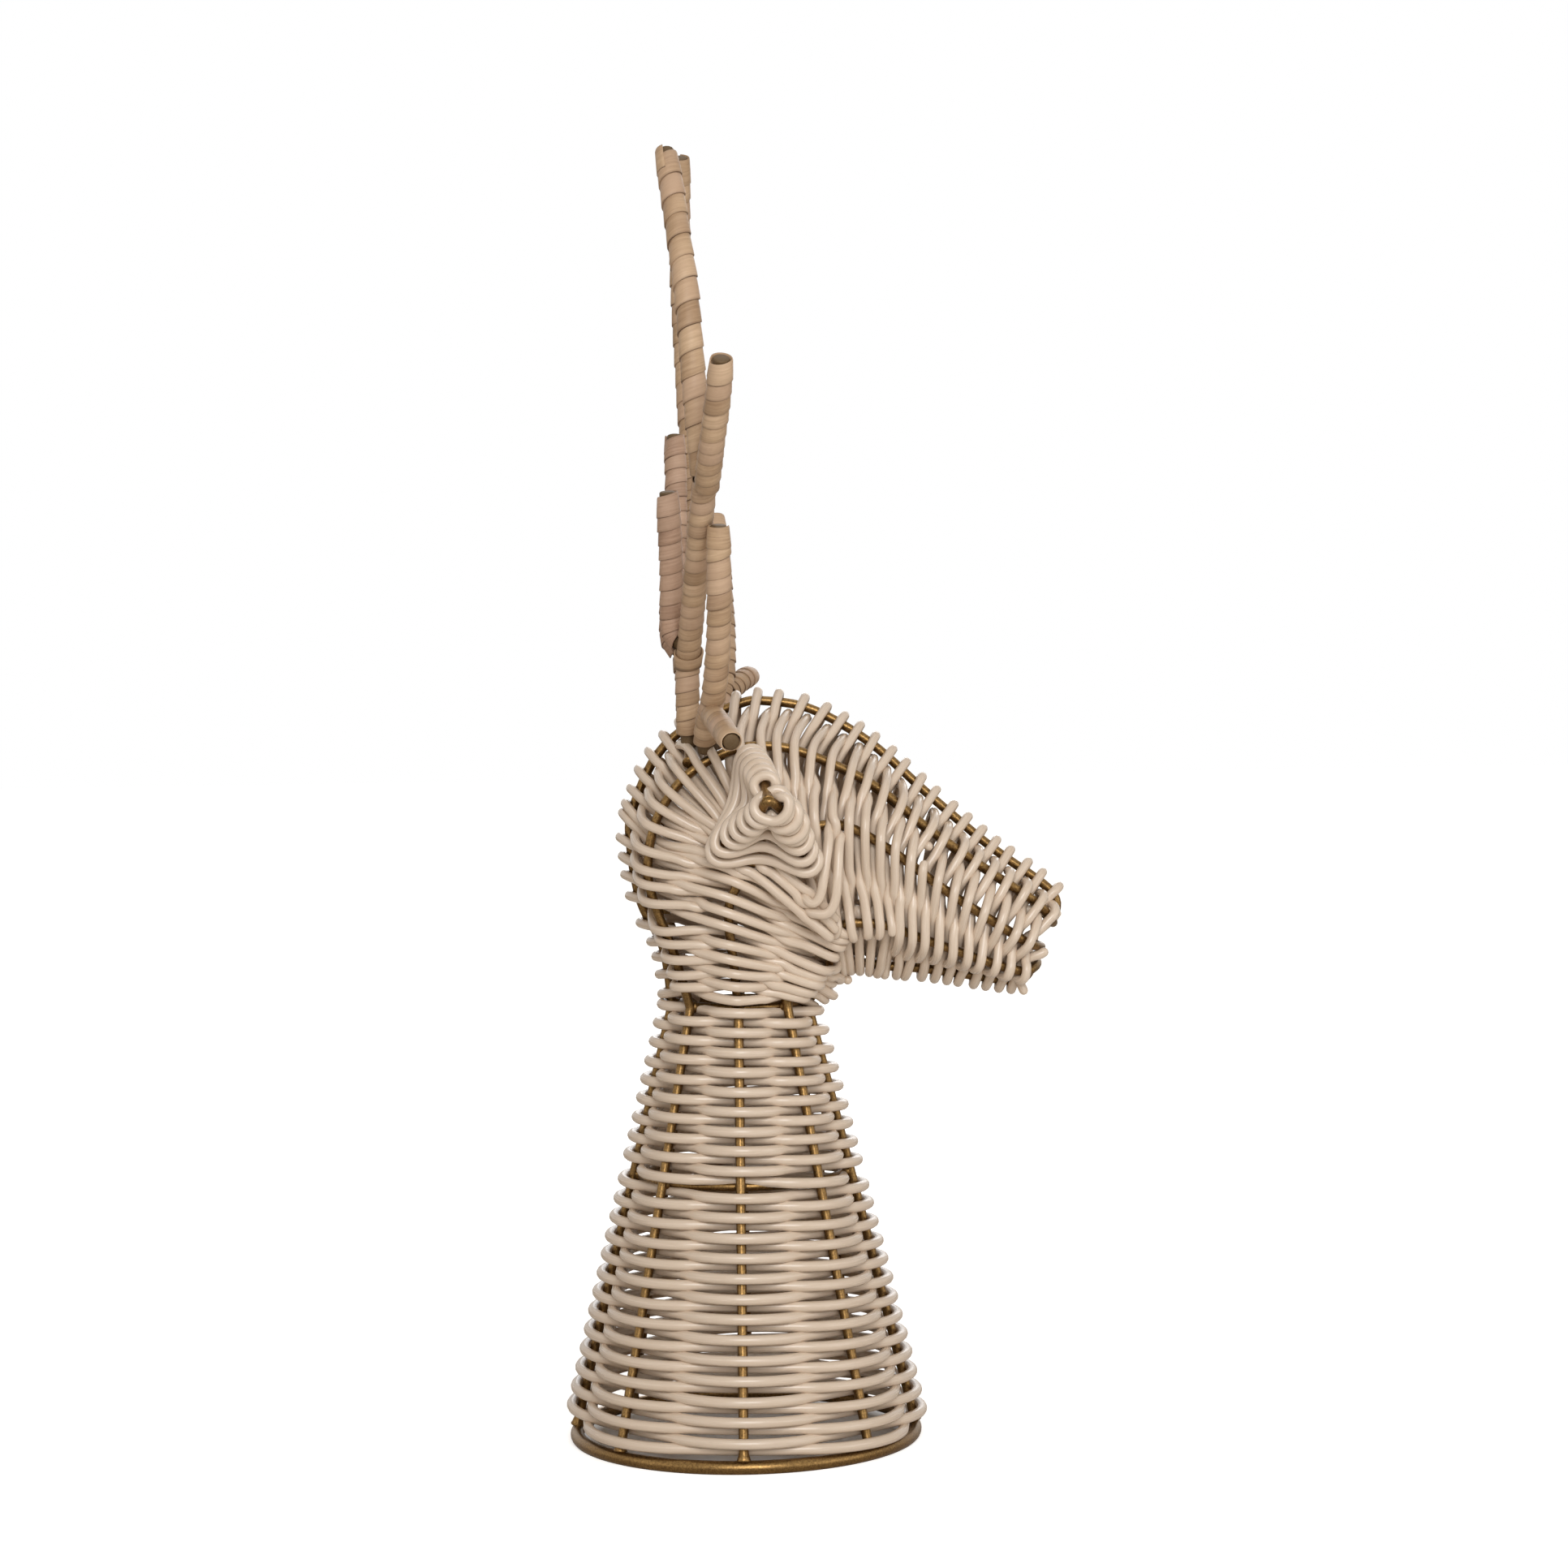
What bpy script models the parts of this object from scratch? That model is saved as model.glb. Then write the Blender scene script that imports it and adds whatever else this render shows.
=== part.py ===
"""Woven reindeer bust: a bronze wire frame, round cane woven on it, antlers of rod wound with flat strip.

Metres, +Z up, the nose along +X, the base ring standing on Z = 0, the origin under the middle of the whole
object. Sizes below are millimetres from the base ring's centre until made().
"""

import math

import bmesh
import bpy
from mathutils import Vector

MM = 0.001
GAP = 0.3  # left between pieces that touch on the real object
MIDDLE = (-23.7, 0.0, 0.0)  # from the origin, under the middle of the object, to the base ring's centre

# Neck: a cone of eight ribs at 45 degree steps
RIBS = 8
BASE_RADIUS = 53.5  # rib circle at the foot
TOP_RADIUS = 21.5  # rib circle at the top ring
NECK_HEIGHT = 137.0  # floor to top ring
BASE_RING_WIRE = 4.4
BASE_RING_FLAT = 0.5  # cut off the ring's underside, so that it stands flat
MID_RING_HEIGHT = 83.0
WIRE = 3.0  # ribs, rings and head wires
RIB_PAST_RING = 2.0  # a front rib ends this far above the top ring

# Neck weave: two strands that chase each other up the ribs
CANE = 2.6
WEAVE_PITCH = 5.9  # rise of one strand in one turn
WEAVE_FOOT = 7.0  # height of the lower strand's first pass

# Head wires, from the centre of the neck's top: forward, left, up. Right-hand wires are mirrored
SPINE = [(-24, 0, 18), (-31, 0, 33), (-34, 0, 52), (-33, 0, 62), (-25.5, 0, 78.5), (-14.5, 0, 88.5),
         (1, 0, 95), (9, 0, 96), (24.5, 0, 93), (43, 0, 82), (61, 0, 65.5), (80, 0, 49), (97, 0, 36.5),
         (101, 0, 31.5), (101, 0, 27.8)]
TEMPLE = [(-20.5, -19, 19), (-26, -21, 34), (-27.5, -22, 45), (-25, -22.5, 58), (-18.5, -23, 69),
          (-11, -23, 75.5), (-1.5, -22, 80), (7.5, -21, 81.5), (20.5, -20, 79.5), (42, -17.5, 69.5),
          (60.5, -15, 54.5), (80, -12, 40.5), (94, -9, 31), (98.5, -5, 26)]
TEMPLE_BOW = (100, 0, 24)
CHEEK = [(-1, -26, 12), (-2.5, -31, 30), (0, -32.5, 38), (3.5, -33, 43), (13.5, -33, 51), (25.5, -32, 56.5),
         (36, -29.5, 55.5), (50, -26, 47), (66.5, -21, 34.5), (86, -15, 21.5), (92, -11.5, 18),
         (95, -6, 16.8)]
CHEEK_BOW = (96, 0, 16.5)
THROAT = [(26, 0, 5.5), (30, 0, 10.5), (36, 0, 12.5), (47.5, 0, 11), (59, 0, 10), (72, 0, 8), (86, 0, 5.8),
          (90.5, 0, 6.6), (92.2, 0, 8.4)]
JAW = [(27.8, -2.4, 8.2), (28.5, -12, 13), (30, -20, 21), (33, -23, 25.5), (38, -23, 26), (46.5, -21.5, 25),
       (59, -18, 20), (79, -13.5, 12.5), (89.5, -10, 9.4), (93.4, -6, 10.4)]
JAW_BOW = (94.7, 0, 11.6)
ANTLER_BAR = [(-14.3, -22.4, 76.6), (-14.3, -12, 82.2), (-14.3, 0, 84.8)]

# Head weave: shells over the wires, ridged row by row. Shares run along spine, temple, cheek, jaw, throat
SHELL = 2.0
RIDGE_LOW = 0.65  # how far the shell's middle stands off its seat between rows and on them
RIDGE_HIGH = 0.9
DRAWN_OUT = {"valley": 0.6, "row": 1.2}  # how far it stands out midway between two wires
THROAT_SPANS = (3, 4)  # spans on either side of the throat wire, which aren't drawn in
ROW_PITCH = 7.5
NAPE_FROM = (0.03, 0.03, 0.04, 0.10, 0.10)
NAPE_TO = (0.375, 0.335, 0.262, 0.30, 0.26)
FACE_FROM = (0.475, 0.50, 0.455, 0.345, 0.31)
FACE_TO = (0.962, 0.955, 0.95, 0.895, 0.925)
JAW_ON_NECK = [(15.2, -15.2, 0), (20, -16, 6)]  # the row corner under the jaw wire, above the front rib

# Ears: a bow and a ridge wire that meet at the tip, with a ridged shell over them
EAR_TIP = (10.5, -64, 64.8)
EAR_RIDGE = [(5, -23.4, 84.2), (5.4, -35, 77), (7.4, -46, 73.5), (9.4, -56, 69.6)]
EAR_BOW_BACK = [(6, -36.5, 45.5), (-4.2, -39.5, 49.5), (-0.5, -45, 54), (3.5, -51, 57.3), (7.8, -58.5, 61)]
EAR_BOW_FRONT = [(20, -36.2, 54.3), (22, -41, 46), (20.2, -46.5, 49.6), (18.2, -52, 55.4), (15, -58.5, 61)]
EAR_FROM = 0.24  # shares of the ear wires that the shell covers
EAR_TO = 0.8
EAR_ROWS = 7
EAR_ROOM = 0.7  # extra stand-off, as the ear wires lean across the rows
EAR_CORNER = 1.4  # how wide a row goes round a wire, against how far it stands off

# Antlers: rods welded to the frame, each wound with flat strip
ROD = 5.0
STRIP_INNER = 5.9
STRIP_OUTER = 7.0
STRIP_PITCH = 8.5
STRIP_GAP = 0.6
BINDING_OUTER = 9.4
BINDING_WIDTH = 4.4
BINDING_EDGE = 1.0  # rounding of its rims, along and across
BINDING_ROUND = 0.6
BINDING_BELOW_FORK = 5.6
BEAM_RIGHT = [(-14.3, -18, 82), (-14.3, -20, 89), (-14.3, -22, 98), (-13.8, -25, 109), (-12, -36, 122),
              (-10, -50, 136), (-8.4, -62, 147), (-7, -73, 158), (-8, -80, 171), (-9.4, -83, 192),
              (-11, -80, 214), (-13, -74, 229.5), (-15, -67, 245), (-17, -60, 258.5)]
BEAM_LEFT = [(-14.3, 18, 82), (-15.3, 20, 89), (-16, 22, 98), (-16, 25, 108), (-15, 38, 126),
             (-14.6, 50, 142), (-14.5, 62, 157.5), (-14.6, 73, 175), (-15.6, 80, 192), (-16.8, 83, 215),
             (-17.7, 80, 240), (-17.5, 72, 261), (-16.6, 60, 281)]
REAR_RIGHT = [(-18.6, -24.5, 118), (-18.4, -31, 137), (-19, -37, 159)]
REAR_LEFT = [(-21.2, 27.5, 119), (-19.6, 34, 145), (-19, 38, 165), (-19.3, 41, 185)]
OUTER_RIGHT = [(-4.2, -88, 167), (-2, -99, 179), (-0.5, -107, 190)]
OUTER_LEFT = [(-14, 88, 187), (-13.5, 98, 202), (-13.5, 107, 213)]
FRONT_RIGHT = [(-9, -23.2, 80.2), (-8.8, -25.5, 84), (-8, -32, 89), (-5.6, -41, 98), (-3.9, -52, 112),
               (-3.2, -60, 126), (-3, -67, 146)]
FRONT_LEFT = [(-9, 23.2, 80.2), (-8, 25.5, 84.5), (-6.4, 32, 93), (-4.2, 42, 105), (-4, 51, 121),
              (-5, 59, 138), (-6.8, 67, 160)]
BROW_RIGHT = [(-3, -54, 86.5), (-0.2, -66, 82.5)]
BROW_LEFT = [(1.4, 54, 104), (4.5, 64, 106)]
REAR_FORK = 112.0  # heights of the forks above the neck's top
OUTER_FORK = {"right": 158.0, "left": 175.0}
BROW_FORK = {"right": 93.0, "left": 101.0}
BARE = {"foot": 6.0, "tip": 0.8}  # rod left bare at a beam's foot and at every tip
BARE_ON_ROD = {"rear": 13.0, "outer": 8.0, "brow": 9.0}  # and on the rod that forks, past each fork
BARE_ON_TINE = {"rear": 11.0, "outer": 5.0, "brow": 4.0}  # and on the tine that leaves it
BARE_UNDER_FORK = 9.0

COLOURS = {
    "bronze": ((0.165, 0.098, 0.042, 1), 0.42, 0.75),
    "cane": ((0.62, 0.52, 0.42, 1), 0.5, 0.0),
    "strip": ((0.40, 0.28, 0.18, 1), 0.6, 0.0),
}


def clear_scene():
    for found in list(bpy.data.objects):
        bpy.data.objects.remove(found, do_unlink=True)


def new_material(name):
    colour, roughness, metallic = COLOURS[name]
    made_material = bpy.data.materials.new(name)
    made_material.use_nodes = True
    shader = made_material.node_tree.nodes["Principled BSDF"]
    shader.inputs["Base Color"].default_value = colour
    shader.inputs["Roughness"].default_value = roughness
    shader.inputs["Metallic"].default_value = metallic
    made_material.diffuse_color = colour
    return made_material


def made(point):
    return Vector(point) * MM


def add_object(name, data, material):
    data.materials.append(material)
    new_object = bpy.data.objects.new(name, data)
    new_object.location = made(MIDDLE)
    PARTS.objects.link(new_object)
    return new_object


def mirrored(points):
    return [Vector((p[0], -p[1], p[2])) for p in points]


def on_neck(points):
    """Points given from the centre of the neck's top."""
    return [Vector(p) + Vector((0, 0, NECK_HEIGHT)) for p in points]


def smooth(points, steps):
    """A smooth path through the points, with this many short lines in each span."""
    points = [Vector(p) for p in points]
    path = []
    for i in range(len(points) - 1):
        before = points[max(i - 1, 0)]
        after = points[min(i + 2, len(points) - 1)]
        start, end = points[i], points[i + 1]
        for step in range(steps):
            t = step / steps
            leave = (end - before) * 0.5
            reach = (after - start) * 0.5
            path.append((2 * t**3 - 3 * t**2 + 1) * start + (t**3 - 2 * t**2 + t) * leave
                        + (3 * t**2 - 2 * t**3) * end + (t**3 - t**2) * reach)
    path.append(points[-1])
    return path


def length_of(path):
    return sum((b - a).length for a, b in zip(path, path[1:]))


def at_length(path, length):
    """The point and the direction at this length along a path."""
    for a, b in zip(path, path[1:]):
        step = (b - a).length
        if length <= step or b is path[-1]:
            return a + (b - a) * (length / step), (b - a).normalized()
        length -= step
    return path[-1], (path[-1] - path[-2]).normalized()


def at_share(path, share):
    return at_length(path, share * length_of(path))


def rod(name, path, thickness, material, closed=False, corners=1):
    """A round wire along a path."""
    curve = bpy.data.curves.new(name, "CURVE")
    curve.dimensions = "3D"
    curve.bevel_depth = thickness / 2 * MM
    curve.bevel_resolution = corners
    curve.use_fill_caps = not closed
    spline = curve.splines.new("POLY")
    spline.points.add(len(path) - 1)
    for spot, place in zip(spline.points, path):
        spot.co = (*made(place), 1)
    spline.use_cyclic_u = closed
    spline.use_smooth = True
    return add_object(name, curve, material)


def mesh_object(name, points, faces, material):
    mesh = bpy.data.meshes.new(name)
    mesh.from_pydata([made(p) for p in points], [], faces)
    shape = bmesh.new()
    shape.from_mesh(mesh)
    bmesh.ops.recalc_face_normals(shape, faces=shape.faces)
    shape.to_mesh(mesh)
    shape.free()
    mesh.shade_smooth()
    return add_object(name, mesh, material)


def neck_radius(height):
    share = (height - BASE_RING_WIRE) / (NECK_HEIGHT - BASE_RING_WIRE)
    return BASE_RADIUS + (TOP_RADIUS - BASE_RADIUS) * share


def neck_spot(step, height, out=0.0):
    """A place on a rib. Steps run from the front, round the right side to the back."""
    turn = -2 * math.pi * step / RIBS
    reach = neck_radius(height) + out
    return Vector((reach * math.cos(turn), reach * math.sin(turn), height))


def rib_foot(step):
    """The lower end of a rib, whose slanted end just clears the base ring."""
    slant = math.sin(math.atan((BASE_RADIUS - TOP_RADIUS) / NECK_HEIGHT)) * WIRE / 2
    return neck_spot(step, BASE_RING_WIRE - BASE_RING_FLAT + GAP + slant)


def base_ring():
    """The ring that the bust stands on, spun from a round section with a flat underside."""
    radius = BASE_RING_WIRE / 2
    flat = math.acos((radius - BASE_RING_FLAT) / radius)
    mesh = bpy.data.meshes.new("base_ring")
    shape = bmesh.new()
    corners = []
    for i in range(9):
        turn = -math.pi / 2 + flat + i * (2 * math.pi - 2 * flat) / 8
        up = radius - BASE_RING_FLAT + radius * math.sin(turn)
        corners.append(shape.verts.new(made((BASE_RADIUS + radius * math.cos(turn), 0, up))))
    for a, b in zip(corners, corners[1:] + corners[:1]):
        shape.edges.new((a, b))
    shape.to_mesh(mesh)
    shape.free()
    ring = add_object("base_ring", mesh, BRONZE)
    spin = ring.modifiers.new("Spin", "SCREW")
    spin.steps = spin.render_steps = 40
    spin.use_merge_vertices = True
    spin.merge_threshold = 0.00001
    spin.use_normal_calculate = True


def inner_ring(name, height, steps):
    """A hoop inside the ribs."""
    radius = neck_radius(height) - WIRE - GAP
    turns = [2 * math.pi * i / steps for i in range(steps)]
    path = [Vector((radius * math.cos(turn), radius * math.sin(turn), height)) for turn in turns]
    rod(name, path, WIRE, BRONZE, closed=True)


def rail_paths():
    """The five lines that the head weave follows: spine, right temple, right cheek, right jaw and throat."""
    return [smooth([neck_spot(4, NECK_HEIGHT)] + on_neck(SPINE), 2),
            smooth([neck_spot(3, NECK_HEIGHT)] + on_neck(TEMPLE), 2),
            smooth([neck_spot(2, NECK_HEIGHT)] + on_neck(CHEEK), 2),
            smooth(on_neck(JAW_ON_NECK) + on_neck(JAW[2:]), 2),
            smooth([neck_spot(0, NECK_HEIGHT)] + on_neck(THROAT), 2)]


def bow_wire(name, foot, right, bow):
    """A wire that runs up the right side, round the nose, and down the left side."""
    head = smooth(right + on_neck([bow]) + mirrored(right)[::-1], 2)
    rod(name, foot + head + mirrored(foot), WIRE, BRONZE)


def frame_wires():
    base_ring()
    inner_ring("neck_mid_ring", MID_RING_HEIGHT, 32)
    inner_ring("neck_top_ring", NECK_HEIGHT, 24)
    spine = smooth([neck_spot(4, NECK_HEIGHT)] + on_neck(SPINE), 2)
    rod("spine_wire", [rib_foot(4)] + spine, WIRE, BRONZE)
    bow_wire("temple_wire", [rib_foot(3)], [neck_spot(3, NECK_HEIGHT)] + on_neck(TEMPLE), TEMPLE_BOW)
    bow_wire("cheek_wire", [rib_foot(2)], [neck_spot(2, NECK_HEIGHT)] + on_neck(CHEEK), CHEEK_BOW)
    for step, side in ((1, "right"), (7, "left")):
        top = neck_spot(step, NECK_HEIGHT + RIB_PAST_RING)
        rod(f"front_rib_{side}", [rib_foot(step), top], WIRE, BRONZE)
    throat = smooth([neck_spot(0, NECK_HEIGHT)] + on_neck(THROAT), 2)
    rod("throat_wire", [rib_foot(0)] + throat, WIRE, BRONZE)
    bow_wire("jaw_wire", [], on_neck(JAW), JAW_BOW)
    half = on_neck(ANTLER_BAR)
    rod("antler_bar", smooth(half + mirrored(half[:-1])[::-1], 2), WIRE, BRONZE)


def neck_strand(name, lag, over):
    """One strand: outside every second rib, inside the others. It climbs past the mid ring outside a rib."""
    lean = math.atan((BASE_RADIUS - TOP_RADIUS) / NECK_HEIGHT)
    clear = WIRE / 2 + CANE / 2 + GAP
    reach = (clear + 0.15) / math.cos(lean)
    rise = WEAVE_PITCH / RIBS
    height = WEAVE_FOOT + lag
    step = 0
    climbed = False
    path = [neck_spot(-0.5, height - rise / 2)]
    while height < NECK_HEIGHT - clear:
        outside = step % 2 == over
        if outside and not climbed and height + 2 * rise > MID_RING_HEIGHT - clear:
            path += [neck_spot(step - 0.5, height - rise), neck_spot(step, height + clear, reach),
                     neck_spot(step + 0.5, height + 2 * clear + rise)]
            height += 2 * clear
            climbed = True
        else:
            path.append(neck_spot(step, height, reach if outside else -reach))
        height += rise
        step += 1
    path.append(neck_spot(step - 0.5, height - rise / 2))
    print(name, "turns", step / RIBS, "least gap to itself, mm", round(self_gap(path, CANE), 2))
    rod(name, path, CANE, CANE_MATERIAL)


def self_gap(path, thickness):
    """The least clear distance between one pass of a strand and the next, on its points."""
    return min((a - b).length for i, a in enumerate(path) for b in path[i + 3:]) - thickness


def row_points(rails, shares):
    """Points of one row round the head, from the spine down the right side and back up the left."""
    right = [at_share(rail, share) for rail, share in zip(rails, shares)]
    places = [p for p, _ in right]
    ways = [d for _, d in right]
    return places + mirrored(places[1:4])[::-1], ways + mirrored(ways[1:4])[::-1]


def shell_row(rails, shares, line):
    """One row of a shell: over each wire, and drawn in midway between each two."""
    places, ways = row_points(rails, shares)
    middle = sum(places, Vector()) / len(places)
    over = []
    level = []
    for place, way in zip(places, ways):
        side = place - middle
        side -= way * side.dot(way)
        side.normalize()
        over.append(place + side * stand_off(line))
        level.append(place + side * DRAWN_OUT["row" if line % 2 else "valley"])
    row = []
    count = len(over)
    for i in range(count):
        line_between = over if i in THROAT_SPANS else level
        before, start, end, after = (line_between[(i + k) % count] for k in (-1, 0, 1, 2))
        row += [over[i], (start + end) * 0.5625 - (before + after) * 0.0625]
    return row


def stand_off(line):
    """From a wire's middle to the shell's middle, on the lines between rows and, odd, on the rows."""
    return WIRE / 2 + GAP + SHELL / 2 + (RIDGE_HIGH if line % 2 else RIDGE_LOW)


def ridged_shell(name, rows, thickness):
    """A closed sheet through the rows, which are rings with the same number of points."""
    around = len(rows[0])
    points = [p for row in rows for p in row]
    faces = []
    for r in range(len(rows) - 1):
        for c in range(around):
            d = (c + 1) % around
            faces.append((r * around + c, r * around + d, (r + 1) * around + d, (r + 1) * around + c))
    sheet = mesh_object(name, points, faces, CANE_MATERIAL)
    thick = sheet.modifiers.new("Thickness", "SOLIDIFY")
    thick.thickness = thickness * MM
    thick.offset = 0
    thick.use_even_offset = False


def head_shell(name, start, end):
    rails = rail_paths()
    rows_on_spine = (end[0] - start[0]) * length_of(rails[0]) / ROW_PITCH
    count = 2 * round(rows_on_spine)
    rows = []
    for i in range(count + 1):
        shares = [a + (b - a) * i / count for a, b in zip(start, end)]
        rows.append(shell_row(rails, shares, i))
    ridged_shell(name, rows, SHELL)


def ear(side):
    turn = (lambda points: [Vector(p) for p in points]) if side == "right" else mirrored
    tip = on_neck(turn([EAR_TIP]))
    ridge = on_neck(turn(EAR_RIDGE))
    back = on_neck(turn(EAR_BOW_BACK))
    front = on_neck(turn(EAR_BOW_FRONT))
    rod(f"ear_ridge_wire_{side}", smooth(ridge, 2), WIRE, BRONZE)
    rod(f"ear_bow_wire_{side}", smooth(back + tip + front[::-1], 2), WIRE, BRONZE)
    paths = [smooth(ridge + tip, 2), smooth(back + tip, 2), smooth(front + tip, 2)]
    rows = []
    for i in range(2 * EAR_ROWS + 1):
        share = EAR_FROM + (EAR_TO - EAR_FROM) * i / (2 * EAR_ROWS)
        corners = [at_share(path, share)[0] for path in paths]
        rows.append(ear_row(corners, stand_off(i) + EAR_ROOM))
    ridged_shell(f"ear_weave_{side}", rows, SHELL)


def ear_row(corners, out):
    """A rounded triangle about the three ear wires."""
    middle = sum(corners, Vector()) / 3
    row = []
    for i in range(3):
        before, here, after = corners[i - 1], corners[i], corners[(i + 1) % 3]
        across = (here - middle).normalized()
        side = (after - before).normalized()
        for lean in (-EAR_CORNER, 0, EAR_CORNER):
            row.append(here + (across + side * lean).normalized() * out)
    return row


def side_vectors(path):
    """A pair of directions square to the path at each of its points, carried along without twist."""
    frames = []
    ahead = (path[1] - path[0]).normalized()
    first = ahead.orthogonal().normalized()
    for i in range(len(path)):
        ahead = (path[min(i + 1, len(path) - 1)] - path[max(i - 1, 0)]).normalized()
        first = (first - ahead * first.dot(ahead)).normalized()
        frames.append((first, ahead.cross(first)))
    return frames


def ring_spot(path, frames, length, turn, radius):
    """A place beside the path, at this length along it and this turn round it."""
    for i in range(len(path) - 1):
        step = (path[i + 1] - path[i]).length
        if length <= step or i == len(path) - 2:
            share = length / step
            break
        length -= step
    first = frames[i][0].lerp(frames[i + 1][0], share)
    second = frames[i][1].lerp(frames[i + 1][1], share)
    centre = path[i].lerp(path[i + 1], share)
    return centre + (first * math.cos(turn) + second * math.sin(turn)).normalized() * radius


def strip_wrap(name, path, start, end):
    """Flat strip wound round a rod as one unbroken helix, from one length along it to another."""
    frames = side_vectors(path)
    turns = max(1, int((end - start) / STRIP_PITCH) - 1) if end - start > 2 * STRIP_PITCH else 1
    pitch = (end - start) / (turns + 1)
    width = pitch - STRIP_GAP
    steps = 8 * turns
    points = []
    section = [(0, STRIP_INNER), (0, STRIP_OUTER), (width, STRIP_OUTER), (width, STRIP_INNER)]
    for i in range(steps + 1):
        for along, across in section:
            length = start + pitch * i / 8 + along
            points.append(ring_spot(path, frames, length, 2 * math.pi * i / 8, across / 2))
    faces = [(0, 1, 2, 3), tuple(4 * steps + k for k in (3, 2, 1, 0))]
    for i in range(steps):
        for k in range(4):
            m = (k + 1) % 4
            faces.append((4 * i + k, 4 * i + m, 4 * i + 4 + m, 4 * i + 4 + k))
    if turns > 1:
        gaps = [(points[4 * i + 3] - points[4 * (i + 8)]).length for i in range(steps - 8)]
        print(name, "turns", turns, "least gap to itself, mm", round(min(gaps), 2))
    mesh_object(name, points, faces, STRIP)


def fork(path, height, toward):
    """Where a branch leaves a rod at this height: its foot, clear of the rod, and the length along it."""
    length = 0
    for a, b in zip(path, path[1:]):
        if b.z >= height:
            share = (height - a.z) / (b.z - a.z)
            break
        length += (b - a).length
    spot = a.lerp(b, share)
    along = (b - a).normalized()
    way = (toward - spot).normalized()
    side = (way - along * way.dot(along)).normalized()
    reach = ROD / 2 + GAP + ROD / 2 * abs(way.dot(along))
    return spot + side * reach, length + (b - a).length * share


def binding(name, path, length):
    """The short thick winding under a fork."""
    frames = side_vectors(path)
    half = BINDING_WIDTH / 2
    outer = BINDING_OUTER / 2
    section = [(-half, STRIP_INNER / 2), (-half, outer - BINDING_ROUND), (BINDING_EDGE - half, outer),
               (half - BINDING_EDGE, outer), (half, outer - BINDING_ROUND), (half, STRIP_INNER / 2)]
    sides = 12
    points = []
    for along, radius in section:
        turns = [2 * math.pi * i / sides for i in range(sides)]
        points += [ring_spot(path, frames, length + along, turn, radius) for turn in turns]
    faces = []
    for r in range(len(section)):
        s = (r + 1) % len(section)
        for c in range(sides):
            d = (c + 1) % sides
            faces.append((sides * r + c, sides * r + d, sides * s + d, sides * s + c))
    mesh_object(name, points, faces, STRIP)


def branch(name, parent, height, points, kind):
    """A tine welded to a rod, and its winding. Returns the length along the rod where it leaves."""
    points = on_neck(points)
    foot, length = fork(parent, NECK_HEIGHT + height, points[0])
    path = smooth([foot] + points, 2)
    rod(name, path, ROD, BRONZE, corners=2)
    strip_wrap(f"{name}_strip", path, BARE_ON_TINE[kind], length_of(path) - BARE["tip"])
    return length


def antler(side, beam, rear, outer, front, brow):
    beam_path = smooth(on_neck(beam), 2)
    rod(f"antler_{side}_beam", beam_path, ROD, BRONZE, corners=2)
    rear_at = branch(f"antler_{side}_rear_tine", beam_path, REAR_FORK, rear, "rear")
    outer_at = branch(f"antler_{side}_outer_tine", beam_path, OUTER_FORK[side], outer, "outer")
    strip_wrap(f"antler_{side}_stem_strip", beam_path, BARE["foot"], rear_at - BARE_UNDER_FORK)
    binding(f"antler_{side}_fork_binding", beam_path, rear_at - BINDING_BELOW_FORK)
    beam_from = rear_at + BARE_ON_ROD["rear"]
    strip_wrap(f"antler_{side}_beam_strip", beam_path, beam_from, outer_at - BARE_ON_ROD["outer"])
    top_from = outer_at + BARE_ON_ROD["outer"]
    strip_wrap(f"antler_{side}_top_strip", beam_path, top_from, length_of(beam_path) - BARE["tip"])
    front_path = smooth(on_neck(front), 2)
    rod(f"antler_{side}_front_tine", front_path, ROD, BRONZE, corners=2)
    brow_at = branch(f"antler_{side}_brow_tine", front_path, BROW_FORK[side], brow, "brow")
    front_from = brow_at + BARE_ON_ROD["brow"]
    strip_wrap(f"antler_{side}_front_tine_strip", front_path, front_from, length_of(front_path) - BARE["tip"])


clear_scene()
PARTS = bpy.data.collections.new("woven_reindeer")
bpy.context.scene.collection.children.link(PARTS)
BRONZE = new_material("bronze")
CANE_MATERIAL = new_material("cane")
STRIP = new_material("strip")

frame_wires()
neck_strand("neck_cane_lower", 0, 1)
neck_strand("neck_cane_upper", WEAVE_PITCH / 2, 0)
head_shell("nape_weave", NAPE_FROM, NAPE_TO)
head_shell("face_weave", FACE_FROM, FACE_TO)
ear("right")
ear("left")
antler("right", BEAM_RIGHT, REAR_RIGHT, OUTER_RIGHT, FRONT_RIGHT, BROW_RIGHT)
antler("left", BEAM_LEFT, REAR_LEFT, OUTER_LEFT, FRONT_LEFT, BROW_LEFT)
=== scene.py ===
"""Looks of the woven reindeer bust: cane woven strand by strand over bronze wire, strip-wound antlers."""

import math
import random
from math import cos, pi, sin

import bpy
from mathutils import Matrix, Vector
from mathutils.kdtree import KDTree


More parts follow.
